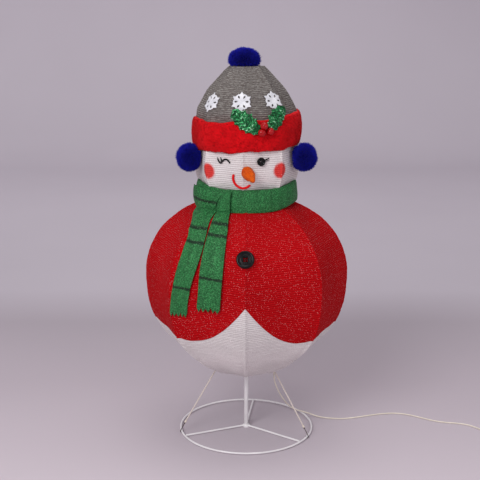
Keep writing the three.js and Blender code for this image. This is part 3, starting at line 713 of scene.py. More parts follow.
def power_lead():
    straight = [tuple(LEAD_EXIT), tuple(LEAD_EXIT - Vector((0, 0, 0.01)))]
    route = [(x * MM, y * MM, z * MM) for x, y, z in LEAD_DROP]
    route += [(x * MM, y * MM, FLOOR_LEVEL) for x, y in LEAD_ON_FLOOR]
    arrive = [coil_tangent(COIL["arrives"], -d, FLOOR_LEVEL) for d in (0.032, 0.014, 0.0)]
    leave = [coil_tangent(COIL["leaves"], d, lerp(FLOOR_LEVEL + 2 * LEAD_RADIUS, PLUG_LEVEL, share))
             for d, share in ((0.0, 0.0), (STUB_OUT / 2, 0.5), (STUB_OUT + 0.001, 1.0))]
    points = straight + route + arrive + coil_points() + leave
    data = bpy.data.curves.new("power_lead", "CURVE")
    data.dimensions, data.resolution_u, data.bevel_depth = "3D", 6, LEAD_RADIUS
    data.bevel_resolution, data.use_fill_caps = 3, True
    spline = data.splines.new("NURBS")
    spline.points.add(len(points) - 1)
    for point, at in zip(spline.points, points):
        point.co = (*at, 1)
    spline.order_u, spline.use_endpoint_u = 3, True
    data.materials.append(LOOKS["lead_pvc"])
    lead = link(bpy.data.objects.new("power_lead", data))
    settle_on(lead, "stand", "lead_pvc", "lead_run", "lead_coil")


power_lead()


# ---- Yarn covers ----
def rib_columns(turn):
    """Angles round a lantern: close together at each rib, where the cloth is creased."""
    half = [0, 0.25, 0.6, 1.1, 1.8, 2.8, 4.2, 6, 8, 10.2, 12.6, 15, 17.5, 20, 22.5]
    span = half + [45 - h for h in half[-2:0:-1]]
    return np.array([turn + (45 * rib + h) * DEG for rib in range(RIBS) for h in span])


PUCKER_Z = 0.284  # where the skirt is stitched to each rib
HEM_Z, HEM_TILT, HEM_RISE, HEM_SPREAD = 0.366, 0.006, 0.133, 38 * DEG
HEM_LAP = 3 * MM  # how far the skirt runs up under the coat


def hem(angle):
    """The coat's lower edge: level, with a pointed opening at the front."""
    away = np.abs(wrapped(angle - BODY_TURN))
    share = np.clip(1 - away / HEM_SPREAD, 0, 1)
    cusp = 0.004 * np.exp(-(rib_distance(angle, BODY_TURN) / (5 * DEG)) ** 2) * (share == 0)
    return HEM_Z - HEM_TILT * np.sin(angle) + HEM_RISE * share ** 2.2 + cusp


def relief(angle, z, s, turn, radius, puckers):
    """How far the cloth stands off its smooth surface: yarn rows, ribs, slack and puckers."""
    points = polar(radius, angle, z)
    near = rib_distance(angle, turn) * radius
    out = 0.6 * MM * np.abs(np.sin(math.pi * s / YARN)) ** 0.6
    out += 1.6 * MM * np.exp(-(near / 0.0035) ** 2) - 0.9 * MM * np.exp(-((near - 0.010) / 0.005) ** 2)
    out -= 4 * MM * np.sin(math.pi * rib_distance(angle, turn) / PITCH) ** 2
    broad, fine = rough(points * (1, 1, 2.2), 14.0), rough(points * (1, 1, 4.0), 45.0, 9.0)
    out += 1.1 * MM * broad + 0.7 * MM * fine
    if puckers:
        up = (z - PUCKER_Z) / 0.030
        out -= 3.0 * MM * np.exp(-(near / 0.014) ** 2 - up ** 2)
        fan = np.cos(9 * np.arctan2(near, np.abs(z - PUCKER_Z) + 0.002))
        out += 0.9 * MM * fan * np.exp(-(near / 0.040) ** 2 - (up / 1.6) ** 2)
    return out


def lantern_cover(name, shape, surface, turn, low, high, look, clip_low=None, clip_high=None,
                  proud=0.0, puckers=False, gathered=False):
    """A sewn cover between two heights, its edges turned in, cut along an edge where given."""
    rows = round((shape.arc(high) - shape.arc(low)) / YARN * 4)
    heights = shape.height(np.linspace(shape.arc(low), shape.arc(high), rows + 1))
    heights = np.concatenate([[low], heights, [high]])
    angle, z = np.meshgrid(rib_columns(turn), heights)
    if clip_low:
        z = np.maximum(z, clip_low(angle))
    if clip_high:
        z = np.minimum(z, clip_high(angle))
    s = shape.arc(z)
    radius = surface(angle, z)
    off = proud + relief(angle, z, s, turn, radius, puckers)
    off[0], off[-1] = off[0] - 4 * MM, off[-1] - 4 * MM
    outward, down = shape.shift(z, off)
    points = polar(radius + outward, angle, z - down)
    mean = float(np.mean(radius))
    if gathered:
        inward = np.linspace(0.92, 0.16, 9)[:, None]
        pleats = 0.9 * MM * np.cos(24 * angle[:1]) * (1 - inward) ** 0.5
        rim = points[-2:-1]
        disc = np.stack([rim[..., 0] * inward, rim[..., 1] * inward,
                         CROWN + (0.8 + 1.6 * (1 - inward)) * MM + pleats], -1)
        points = np.concatenate([points[:-1], disc])
        angle = np.concatenate([angle[:-1], np.repeat(angle[-1:], len(disc), 0)])
        s = np.concatenate([s[:-1], s[-1:] + (1 - inward) * GATHER])
    return grid_object(name, points, ring_uvs(angle, s, mean), look, wrap=True)


def declare_cover(shape, low, high):
    """Works out the cover's arc lengths and girth as cut, and returns nothing."""
    s = np.linspace(shape.arc(low), shape.arc(high), 60)
    girth = 2 * math.pi * shape.radius(shape.height(s)) * 0.97


def covers():
    body, head = (BODY, body_radius, BODY_TURN), (HEAD, head_radius, HEAD_TURN)
    skirt = lantern_cover("skirt_sheet", *body, BOTTOM - 2 * MM, HEM_Z + HEM_RISE, "skirt",
                          clip_high=lambda a: hem(a) + HEM_LAP, puckers=True)
    coat = lantern_cover("coat_sheet", *body, HEM_Z - HEM_TILT, NECK - 0.003, "coat",
                         clip_low=hem, proud=1.0 * MM)
    face = lantern_cover("face_sheet", *head, NECK + 0.003, SEAM, "face")
    hat = lantern_cover("hat_sheet", *head, SEAM, CROWN, "hat", gathered=True)
    for obj, slot, node in ((skirt, "white_fabric", "skirt_cover"), (coat, "coat_fabric", "coat_cover")):
        lowered(settle_on(obj, "stand", slot, node))
    settle_on(face, "head", "white_fabric", "head_cover")
    settle_on(hat, "head", "grey_fabric", "hat_cover")
    declare_cover(BODY, BOTTOM, HEM_Z + 0.02)
    declare_cover(BODY, HEM_Z + 0.01, NECK)
    declare_cover(HEAD, NECK, SEAM)
    declare_cover(HEAD, SEAM, CROWN)


covers()


# ---- Frame inside the covers ----
def rib_wires():
    for i in range(RIBS):
        angle = BODY_TURN + i * PITCH
        heights = np.linspace(BOTTOM + 0.008, NECK - 0.008, 40)
        inset = (6 + 9 * smoothstep(heights, 0.720, 0.737)) * MM  # more, to clear the collar
        inward, down = BODY.shift(heights, inset)
        path = polar(BODY.radius(heights) - inward, angle, heights + down)
        rib = tube(f"body_rib_wire_{i + 1}", path, 1.5 * MM, "spring_steel", sides=10)
        lowered(settle_on(rib, "stand", "spring_steel", f"body_rib_{i + 1}"))


LAMP = [(r * MM, h * MM) for r, h in ((0, 0), (1.6, 0), (2.4, 2), (2.4, 7), (1.2, 9), (0, 9.4))]


def light_string(name, shape, low, high, turns, inset, body, node):
    """A wire wound up inside the cover, with a small lamp every so often."""
    steps = turns * 48
    share = np.linspace(0, 1, steps + 1)
    z = lerp(low, high, share)
    path = polar(shape.radius(z) * math.cos(PITCH / 2) - inset, 2 * math.pi * turns * share, z)
    parts = [tube(name, path, 1.1 * MM, "lead_pvc", sides=6)]
    for k in range(6, steps, 8):
        inward = -Vector((path[k][0], path[k][1], 0)).normalized()
        facing = inward.to_track_quat("Z", "Y").to_matrix().to_4x4()
        parts.append(turned("lamp", LAMP, "lamp", 10, Matrix.Translation(Vector(path[k])) @ facing))
    return settle_on(joined(name, parts), body, "lead_pvc", node)


def carried_over():
    """CAD nodes whose shape is right keep their mesh and get a finished material."""
    looks = {"bottom_spider": "clear_plastic", "top_cap": "clear_plastic",
             "clamp_collar": "black_plastic", "clamp_screw": "black_plastic",
             "plug": "lead_pvc", "strain_relief": "lead_pvc", "neck_hoop": "spring_steel"}
    looks.update({f"head_rib_{i + 1}": "spring_steel" for i in range(RIBS)})
    for node, look in looks.items():
        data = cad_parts[node]
        for slot in data.material_slots:
            slot.material = LOOKS[look]
        if not data.material_slots:
            data.data.materials.append(LOOKS[look])


rib_wires()
lowered(light_string("light_wire_body", BODY, 0.246, 0.706, 3, 0.014, "stand", "light_string_body"))
light_string("light_wire_head", HEAD, 0.786, 1.128, 2, 0.013, "head", "light_string_head")
carried_over()


# ---- The stand ----
RING_Z = 5.914 * MM
RING_RADIUS, RING_WIRE = 0.213, 3 * MM
SPOKES = [a * DEG for a in (-67, 53, 173)]
HOOP_RADIUS, HOOP_WIRE = 0.0957, 2 * MM
TIES = {"left": -77 * DEG, "right": 65 * DEG, "rear": 180 * DEG}


def base_ring():
    path = polar(RING_RADIUS, ring_angles(160), RING_Z)
    ring = tube("ring_wire", path, RING_WIRE, "white_steel", sides=16, closed=True)
    seam = [0.8, 1.0, 1.14, 1.18, 1.14, 1.0, 0.8]
    bead = polar(RING_RADIUS, 150 * DEG + np.linspace(-1.2, 1.2, 7) * DEG, RING_Z)
    weld = tube("weld", bead, RING_WIRE, "white_steel", sides=14, radii=[RING_WIRE * s for s in seam])
    settle_on(joined("ring_wire", [ring, weld]), "stand", "white_steel", "base_ring")


def spokes():
    hub_top = RING_Z + RING_WIRE
    outline = [(0, 0), (10.2, 0), (11, 0.8), (11, 7.6), (9.8, hub_top / MM), (6.4, hub_top / MM),
               (5.6, 9.6), (5.6, 57.5), (4.2, 60), (0, 60)]
    parts = [turned("spokes", [(r * MM, z * MM) for r, z in outline], "white_steel", 48)]
    reach = np.array([4, 9, 10.5, 12.5, 16, 60, 120, 180, 200, 206, 208.4]) * MM
    swell = [RING_WIRE * s for s in (1, 1, 1.35, 1.3, 1, 1, 1, 1, 1, 1.06, 1.2)]  # the welds
    for angle in SPOKES:
        path = polar(reach, angle, RING_Z)
        parts.append(tube("spoke", path, RING_WIRE, "white_steel", sides=16, radii=swell))
    settle_on(joined("spokes", parts), "stand", "white_steel", "base_spider")


def pipe(name, outer, inner, low, high, body, node):
    lip = 0.3 * MM
    outline = [(inner, low + lip), (inner + lip, low), (outer - lip, low), (outer, low + lip),
               (outer, high - lip), (outer - lip, high), (inner + lip, high), (inner, high - lip),
               (inner, low + lip)]
    settle_on(turned(name, outline, "white_steel", 40), body, "white_steel", node)


HOOK_REACH = 4.76 * MM  # from the middle of the base ring's wire to the middle of the hook's
HOOK_WIRE, EYE_WIRE, EYE_RADIUS = 1.05 * MM, 0.9 * MM, 3.2 * MM
FERRULE = [r * MM for r in (2.8, 3.5, 3.6, 3.3, 3.6, 3.5, 2.8)]
ELASTIC, KNOT_WIRE, KNOT_RADIUS, KNOT_STEPS = 2.3 * MM, 1.7 * MM, 3.0 * MM, 26


def hoop():
    wire = tube("bottom_ring_wire", polar(HOOP_RADIUS, ring_angles(96), BOTTOM), HOOP_WIRE,
                "spring_steel", sides=12, closed=True)
    settle_on(wire, "stand", "spring_steel", "bottom_hoop")


def tie(name, angle):
    """An elastic from the bottom hoop down to a wire hook over the base ring."""
    outward = Vector(polar(1.0, angle, 0.0))
    ring = Vector(polar(RING_RADIUS, angle, RING_Z))
    upper = Vector(polar(BODY.radius(BOTTOM) - 10.5 * MM, angle, BOTTOM - 5 * MM))
    along = (upper - ring).normalized()
    sideways = along.cross(outward).normalized()
    start = math.atan2(along.z, along.dot(outward)) - math.pi / 2

    def on_hook(a):
        return ring + outward * (HOOK_REACH * math.cos(a)) + Vector((0, 0, HOOK_REACH * math.sin(a)))

    shank = on_hook(start)
    path = [shank + along * d for d in (0.027, 0.022, 0.016, 0.010, 0.005)]
    path += [on_hook(start - 215 * DEG * k / 18) for k in range(19)]
    hook = tube("hook", path, HOOK_WIRE, "hook_steel", radii=rounded_radii(len(path), HOOK_WIRE))
    foot = shank + along * 0.0285
    eye = [foot + along * (EYE_RADIUS * math.cos(a)) + sideways * (EYE_RADIUS * math.sin(a))
           for a in (2 * math.pi * k / 20 for k in range(20))]
    loop = tube("loop", eye, EYE_WIRE, "hook_steel", sides=8, closed=True)
    low, high = shank + along * 0.0225, shank + along * 0.0385
    sleeve_path = [lerp(low, high, s) for s in np.linspace(0.45, 1, len(FERRULE))]
    sleeve = tube("ferrule", sleeve_path, 3.3 * MM, "ferrule", sides=14, radii=FERRULE)
    settle_on(joined(f"hook_{name}", [hook, loop, sleeve]), "stand", "hook_steel", f"tie_hook_{name}")
    top = upper + along * 0.004
    run = [lerp(high - along * 0.001, top, s) for s in np.linspace(0, 1, 30)]
    cord = tube(f"elastic_{name}", run, ELASTIC, "elastic", sides=12)
    knot_path = []
    for k in range(KNOT_STEPS):
        a = 2 * math.pi * k / 12
        knot_path.append(top - along * (0.006 - 0.00035 * k) + outward * (KNOT_RADIUS * math.cos(a))
                         + sideways * (KNOT_RADIUS * math.sin(a)))
    knot = tube("knot", knot_path, KNOT_WIRE, "elastic", sides=8,
                radii=rounded_radii(KNOT_STEPS, KNOT_WIRE))
    settle_on(joined(f"elastic_{name}", [cord, knot]), "stand", "elastic", f"tie_cord_{name}")


base_ring()
spokes()
pipe("pole_outer_tube", 7 * MM, 6.2 * MM, RING_Z + RING_WIRE + 0.3 * MM, 0.620, "stand", "pole_lower")
pipe("pole_inner_tube", 6.1 * MM, 5.3 * MM, 0.500, 1.157, "head", "pole_upper")
hoop()
for tie_name, tie_angle in TIES.items():
    tie(tie_name, tie_angle)


# ---- Scarf ----
COLLAR_LOW, COLLAR_HIGH = 0.7435, 0.8115
COLLAR_RADIUS, COLLAR_CROWN, COLLAR_FLARE = 150.5, 4.5, 5.0  # mm
SPLIT = 0.7555  # a tail above this moves with the head, below it with the coat
SPLIT_LAP = 0.0011


def collar_edges(angle):
    """The collar rides up towards the sides."""
    side = np.abs(wrapped(angle))
    low = COLLAR_LOW + 14 * MM * smoothstep(side, 25 * DEG, 72 * DEG)
    high = COLLAR_HIGH + 9 * MM * smoothstep(side, 30 * DEG, 80 * DEG)
    return low, high


def collar_radius(angle, z):
    low, high = collar_edges(angle)
    share = np.clip((z - low) / (high - low), 0, 1)
    pinch = 2.5 * MM * np.exp(-((wrapped(angle) - 83 * DEG) / (9 * DEG)) ** 2 - ((share - 0.55) / 0.2) ** 2)
    crown = COLLAR_CROWN * np.sin(math.pi * share) ** 0.6
    return (COLLAR_RADIUS + crown + COLLAR_FLARE * (1 - share)) * MM - pinch


def collar():
    angle = ring_angles(200)
    share = np.concatenate([[0, 0, 0.012, 0.03], np.linspace(0.06, 0.94, 30), [0.97, 0.988, 1, 1]])
    inward = np.zeros(len(share))
    inward[[0, 1, 2, -3, -2, -1]] = np.array([1.6, 0.8, 0.3, 1.0, 3.2, 9]) * MM
    a, t = np.meshgrid(angle, share)
    low, high = collar_edges(a)
    z = lerp(low, high, t)
    r = collar_radius(a, z) - inward[:, None]
    points = polar(r, a, z)
    folds = 1.5 * MM * rough(points * (1, 1, 0.6), 16.0, 3.0) + 0.5 * MM * rough(points, 70.0)
    r = r + folds
    points = polar(r, a, z + 1.5 * MM * rough(polar(0.15 + 0 * a, a, 0 * z), 22.0))
    obj = grid_object("scarf_wrap", points, ring_uvs(a, z, 0.155), "collar", wrap=True)
    settle_on(obj, "head", "green_fabric", "scarf_collar")


def scarf_ground(angle, z):
    """What a tail lies on: the collar, then the coat, with a soft step between."""
    coat = body_radius(angle, np.minimum(z, NECK - 0.004)) + 2.5 * MM
    over = collar_radius(angle, z) + 1.5 * MM
    return lerp(coat, np.maximum(over, coat), smoothstep(z, 0.734, 0.752))


def tail(side, edges, bottom, look, lift, teeth, cuts):
    """A tail from stops of [millimetres up, left edge, right edge in degrees], cut to teeth below.

    lift is the millimetres it stands off, the rise from there, and the heights it rises between.
    cuts gives the fold and the hanging part as cut: width, length and flat area, which are not used."""
    stops = smooth_curve(edges, 10)
    top = stops[-1, 0] * MM
    rows = np.arange(bottom, top, 0.0022)
    across = np.linspace(-1, 1, 8 * teeth + 1)
    x, z = np.meshgrid(across, rows)
    part = ((x + 1) / 2 * teeth) % 1
    notch = np.abs(2 * part - 1) ** 1.2
    z = np.maximum(z, bottom + (0.013 + 0.002 * np.sin(9 * x)) * notch)
    left = np.interp(z / MM, stops[:, 0], stops[:, 1]) * DEG
    right = np.interp(z / MM, stops[:, 0], stops[:, 2]) * DEG
    angle = lerp(left, right, (x + 1) / 2)
    ground = scarf_ground(angle, z)
    wave = 1.6 * np.sin(2.6 * x + 21 * z) + 1.3 * np.cos(5.2 * x - 9 * z) * (1 - 0.6 * x**2)
    off, rise, rise_low, rise_high = lift
    height = (off + rise * smoothstep(z, rise_low, rise_high) + wave + 1.2 * (1 - x**2)) * MM
    points = polar(ground + height, angle, z)
    points = points + 0.6 * MM * rough(points, 55.0)[..., None] * points / 0.3
    thickness = (1.2 + 2.2 * np.sqrt(np.clip(1 - x**6, 0, 1))) * MM
    width = np.ptp(angle * ground, axis=1).mean() / 2
    uvs = np.stack([x * width, z + 0.002 * x], -1)
    parts = (("fold", "head", rows >= SPLIT - SPLIT_LAP), ("hang", "stand", rows <= SPLIT + SPLIT_LAP))
    for (name, rides, keep), (wide, long, area) in zip(parts, cuts):
        obj = slab(f"scarf_{name}_{side}", points[keep], thickness[keep], uvs[keep], look)
        if name == "hang":
            lowered(settle_on(obj, rides, "green_fabric", f"scarf_tail_{side}"))
        else:
            settle_on(obj, rides, "green_fabric")


collar()
tail("left", [(448, -46.4, -36.2), (490, -45.2, -35.1), (540, -43.8, -33.2), (600, -42.9, -30.8),
              (650, -42.8, -29.8), (690, -44.8, -31.2), (718, -53, -33.6), (738, -66, -34.5),
              (756, -76, -34), (785, -79, -30), (810, -80, -22.5)],
     0.449, "tail_left", (2.0, 2.5, 0.62, 0.74), 5,
     ((0.145, 0.063, 0.0088), (0.116, 0.370, 0.0256)))
tail("right", [(474, -29.6, -15.4), (540, -28.4, -14.3), (600, -28.7, -13.8), (650, -29.0, -14.0),
               (690, -29.9, -14.6), (720, -31.0, -15.8), (745, -32.3, -17.6), (773, -30.4, -17.4),
               (795, -26.6, -16.8), (811, -22.6, -16.2)],
     0.475, "tail_right", (3.6, 5.5, 0.655, 0.735), 5,
     ((0.040, 0.060, 0.0022), (0.081, 0.330, 0.0260)))


# ---- Plush and pompoms ----
def spikes(name, roots, directions, lengths, width, look, bend):
    """Tapered strands of pile, each a closed spike. V runs from root to tip."""
    roots, directions = np.array(roots), np.array(directions)
    count = len(roots)
    directions /= np.linalg.norm(directions, axis=1, keepdims=True)
    stray = RNG.normal(size=(count, 3))
    side = np.cross(directions, stray)
    side /= np.linalg.norm(side, axis=1, keepdims=True)
    other = np.cross(directions, side)
    lengths = np.broadcast_to(np.asarray(lengths, float), (count,))[:, None]
    lean = side * bend
    rings = []
    for share, scale in ((0.0, 1.0), (0.55, 0.75)):
        middle = roots + directions * lengths * share + lean * lengths * share**2
        for k in range(3):
            a = 2 * math.pi * k / 3
            rings.append(middle + (side * math.cos(a) + other * math.sin(a)) * width * scale / 2)
    rings.append(roots + directions * lengths + lean * lengths)
    points = np.stack(rings, 1).reshape(-1, 3)
    local = [(0, 1, 4, 3), (1, 2, 5, 4), (2, 0, 3, 5), (3, 4, 6), (4, 5, 6), (5, 3, 6), (2, 1, 0)]
    along = (0, 0, 0, 0.55, 0.55, 0.55, 1)
    faces = [tuple(7 * i + k for k in face) for i in range(count) for face in local]
    corner = [(0.0, along[k]) for _ in range(count) for face in local for k in face]
    return mesh_object(name, points, faces, look, corner)


def sphere_points(count):
    """Evenly scattered directions."""
    k = np.arange(count) + 0.5
    tall = 1 - 2 * k / count
    turn = math.pi * (1 + 5**0.5) * k
    flat = np.sqrt(1 - tall**2)
    return np.stack([flat * np.cos(turn), flat * np.sin(turn), tall], -1)


PILE, STRANDS = 9.5 * MM, 6500
EARMUFF_AT, EARMUFF_RADII = (0.172, -0.062, 0.897), (0.042, 0.042, 0.045)


def pompom(name, centre, radii, node, seat=0.0):
    """A ball of yarn ends: a core painted dark as shade, and strands that stand out from it."""
    centre, radii = np.array(centre), np.array(radii)
    core_radii = radii - PILE
    bm = bmesh.new()
    bmesh.ops.create_icosphere(bm, subdivisions=4, radius=1)
    for v in bm.verts:
        lump = 1 + 0.06 * noise.noise(v.co * 2.2 + Vector(centre * 40))
        v.co = Vector(centre) + Vector(np.array(v.co) * core_radii * lump)
        v.co.z = max(v.co.z, seat)
    mesh = bpy.data.meshes.new(name)
    bm.to_mesh(mesh)
    bm.free()
    mesh.materials.append(LOOKS["blue_pile"])
    # All-zero UVs give the core the pile's root colour, its painted shade.
    mesh.uv_layers.new(name="UVMap").data.foreach_set("uv", np.zeros(2 * len(mesh.loops)))
    mesh.shade_smooth()
    core = link(bpy.data.objects.new(name, mesh))
    way = sphere_points(STRANDS) + RNG.normal(scale=0.03, size=(STRANDS, 3))
    lump = 1 + 0.06 * np.array([noise.noise(Vector(p) * 2.2 + Vector(centre * 40)) for p in way])
    roots = centre + way * core_radii * lump[:, None] * 0.97
    tips = centre + way * radii * (lump * RNG.uniform(0.93, 1.015, STRANDS))[:, None]
    keep = ~in_head(roots) & ~in_head(tips)
    roots, tips = roots[keep], tips[keep]
    length = np.linalg.norm(tips - roots, axis=1)
    pile_piece = spikes("pile", roots, tips - roots, length, 1.7 * MM, "blue_pile", 0.16)
    settle_on(joined(name, [core, pile_piece]), "head", "blue_plush", node)


CUFF_STRANDS = 15000


def in_head(points):
    """Whether each point is inside the head or its cuff."""
    angle = np.arctan2(points[:, 0], -points[:, 1])
    z = points[:, 2]
    out = np.hypot(points[:, 0], points[:, 1])
    cover = np.where(z < CROWN, head_radius(angle, np.minimum(z, CROWN)) + 1.5 * MM, 0)
    cuff = np.where((z > cuff_low(angle)) & (z < cuff_high(angle)), 0.165, 0)
    return out < np.maximum(cover, cuff)


def cuff_low(angle):
    ripple = 1.6 * np.sin(7 * angle + 0.6) + 1.1 * np.sin(13 * angle + 2.0) + 0.8 * np.sin(23 * angle)
    return (924 + 5.5 * np.sin(angle) + ripple + 4 * smoothstep(np.abs(wrapped(angle)), 0.8, 1.4)) * MM


def cuff_high(angle):
    ripple = 1.5 * np.sin(6 * angle + 1.9) + 1.0 * np.sin(15 * angle)
    return (1014 + 10 * np.sin(angle) + ripple + 7 * smoothstep(np.abs(wrapped(angle)), 0.7, 1.5)) * MM


def cuff_radius(share):
    """Plush brim: full in the middle, rolled at both edges, leaning out towards the top."""
    return (156.5 + 8.5 * np.sin(math.pi * np.clip(share, 0, 1)) ** 0.45 + 2.0 * share) * MM


def cuff():
    angle = ring_angles(300)
    share = np.concatenate([[0.0, 0.0], np.linspace(0.004, 0.05, 5), np.linspace(0.08, 0.92, 34),
                            np.linspace(0.95, 0.996, 5), [1.0, 1.0]])
    a, t = np.meshgrid(angle, share)
    z = lerp(cuff_low(a), cuff_high(a), t)
    r = cuff_radius(t)
    r[0], r[-1] = head_radius(a[0], z[0]) + 1 * MM, head_radius(a[-1], z[-1]) + 1 * MM
    points = polar(r, a, z)
    inner = np.ones_like(r)
    inner[[0, -1]] = 0
    dents = 1.7 * MM * rough(points, 17.0, 5.0) + 0.8 * MM * rough(points, 48.0)
    dents = dents + 0.35 * MM * rough(points, 150.0)
    points = polar(r + dents * inner, a, z)
    # The shell takes V = 0.8, near the tips' colour, with a little of the painted root shade.
    uvs = ring_uvs(a, np.full_like(a, 0.8), 0.165)
    shell = grid_object("hat_brim", points, uvs, "red_plush", wrap=True)
    count = CUFF_STRANDS
    spot = RNG.uniform(0, 1, (count, 2))
    sa, st = spot[:, 0] * 2 * math.pi, spot[:, 1]
    sz = lerp(cuff_low(sa), cuff_high(sa), st)
    roots = polar(cuff_radius(st) - 0.6 * MM, sa, sz)
    roots = roots + polar(1.7 * MM * rough(roots, 17.0, 5.0), sa, 0.0)
    out = polar(np.ones(count), sa, 1.6 * (2 * st - 1) ** 5) + RNG.normal(scale=0.28, size=(count, 3))
    nap = spikes("nap", roots, out, RNG.uniform(2.2, 3.6, count) * MM, 1.3 * MM, "red_plush", 0.3)
    brim = settle_on(joined("hat_brim", [shell, nap]), "head", "red_plush", "hat_cuff")


cuff()
for side, side_name in ((-1, "left"), (1, "right")):
    centre = (side * EARMUFF_AT[0], *EARMUFF_AT[1:])
    pompom(f"earmuff_{side_name}", centre, EARMUFF_RADII, f"ear_pompom_{side_name}")
pompom("crown_pompom", (-0.007, 0.0, 1.183), (0.051, 0.049, 0.0375), "hat_pompom", CROWN + 0.004)


# ---- The face ----
# Half section of a sewn button as shares of radius and thickness: rolled rim, dished centre.
BUTTON_SECTION = [(0.84, 0), (0.95, 0.10), (1.0, 0.32), (0.995, 0.62), (0.94, 0.88), (0.86, 1.0),
                  (0.78, 0.95), (0.70, 0.78), (0.64, 0.62), (0.60, 0.58), (0.56, 0.62), (0.52, 0.72),
                  (0.46, 0.74), (0.36, 0.66)]
BUTTON_BACK = [(0.36, 0.20), (0.36, 0.0), (0.84, 0.0)]


def circle(x, y, radius):
    return [(x + radius * math.cos(a), y + radius * math.sin(a))
            for a in (2 * math.pi * k / 32 for k in range(32))]


def sewn_button(name, radius, thick, hole, look, place):
    """A button whose middle is cut with four thread holes."""
    middle = 0.37 * radius
    reach = 0.43 * middle * 1.2
    loops = [circle(0.0, 0.0, middle)]
    loops += [circle(reach * math.cos(a), reach * math.sin(a), hole)
              for a in (k * math.pi / 2 + math.pi / 4 for k in range(4))]
    flat = filled(name, loops, 0.22 * thick, 0.06 * thick, 2, look)
    flat.data.transform(place @ Matrix.Translation((0, 0, 0.42 * thick)))
    section = [(a * radius, b * thick) for a, b in BUTTON_SECTION]
    section += [(a * radius, b * thick) for a, b in BUTTON_BACK]
    return joined(name, [turned("rim", section, look, 64, place), flat])


def filled(name, loops, half, rounding, steps, look):
    """A flat plate cut to closed loops, with rounded edges."""
    data = bpy.data.curves.new(name, "CURVE")
    data.dimensions, data.fill_mode = "2D", "BOTH"
    data.extrude, data.bevel_depth, data.offset, data.bevel_resolution = half, rounding, -rounding, steps
    for loop in loops:
        spline = data.splines.new("POLY")
        spline.points.add(len(loop) - 1)
        for point, (x, y) in zip(spline.points, loop):
            point.co = (x, y, 0, 1)
        spline.use_cyclic_u = True
    holder = link(bpy.data.objects.new("outline", data))
    mesh = bpy.data.meshes.new_from_object(holder.evaluated_get(bpy.context.evaluated_depsgraph_get()))
    bpy.data.objects.remove(holder)
    bpy.data.curves.remove(data)
    mesh.materials.clear()
    mesh.materials.append(LOOKS[look])
    made = link(bpy.data.objects.new("flat", mesh))
    clean(made)
    return made


def stitched(name, strokes, surface, radius, look, lift):
    """Cords laid along a surface, one for each list of stops."""
    parts = []
    for k, (stops, thick) in enumerate(strokes):
        path, ups = along_surface(surface, stops, lift)
        radii = rounded_radii(len(path), radius * thick, 3)
        if k:
            radii = [r * lerp(0.45, 1.0, i / len(radii)) for i, r in enumerate(radii)]
        parts.append(tube(name, path, radius, look, sides=12, radii=radii, flat=0.8, up=ups))
    return joined(name, parts)


def eyes():
    place = surface_frame(head_radius, 15.7 * DEG, 0.8955, 0.9 * MM, 0.1)
    eye = sewn_button("eye_button", 12.6 * MM, 5.0 * MM, 1.2 * MM, "black_plastic", place)
    lashes = stitched("lashes", [
        ([(19.6, 899.0), (22.2, 901.6), (25.6, 905.2)], 0.9),
        ([(25.6, 898.6), (23, 897.6), (20.0, 896.6)], 0.8)],
        head_radius, 1.7 * MM, "thread", 0.6 * MM)
    settle_on(joined("eye_button", [eye, lashes]), "head", "black_plastic", "eye_open")
    wink = stitched("wink_stitch", [
        ([(-34.4, 902.0), (-33.0, 895.2), (-31.0, 890.2), (-29.3, 891.6), (-27.9, 897.0),
          (-25.4, 901.1), (-22.9, 900.9), (-20.7, 896.9), (-18.8, 891.0)], 1.0),
        ([(-30.9, 907.0), (-30.0, 901.0), (-29.3, 893.6)], 0.95),
        ([(-35.2, 906.0), (-34.0, 901.0), (-32.8, 895.6)], 0.8)],
        head_radius, 2.4 * MM, "thread", 0.8 * MM)
    settle_on(wink, "head", "black_plastic", "eye_wink")


MOUTH_TURN, MOUTH_UP, MOUTH_RADIUS = -4.4, 847.5, 29.3  # degrees, mm, mm
MOUTH_DEGREE = 2.68  # mm round the face to a degree
LIP_RADIUS = 3.7 * MM


def mouth():
    stops = [(MOUTH_TURN + MOUTH_RADIUS * math.cos(a) / MOUTH_DEGREE, MOUTH_UP + MOUTH_RADIUS * math.sin(a))
             for a in np.linspace(157, 318, 9) * DEG]
    path, ups = along_surface(head_radius, stops, 1.6 * MM)
    lips = tube("mouth_cord", path, LIP_RADIUS, "red_cord", sides=14,
                radii=rounded_radii(len(path), LIP_RADIUS, 4), flat=0.85, up=ups)
    settle_on(lips, "head", "red_cord", "mouth")


NOSE_TURN, NOSE_Z, NOSE_LENGTH, NOSE_SAG = -0.5 * DEG, 0.868, 70, 4.0


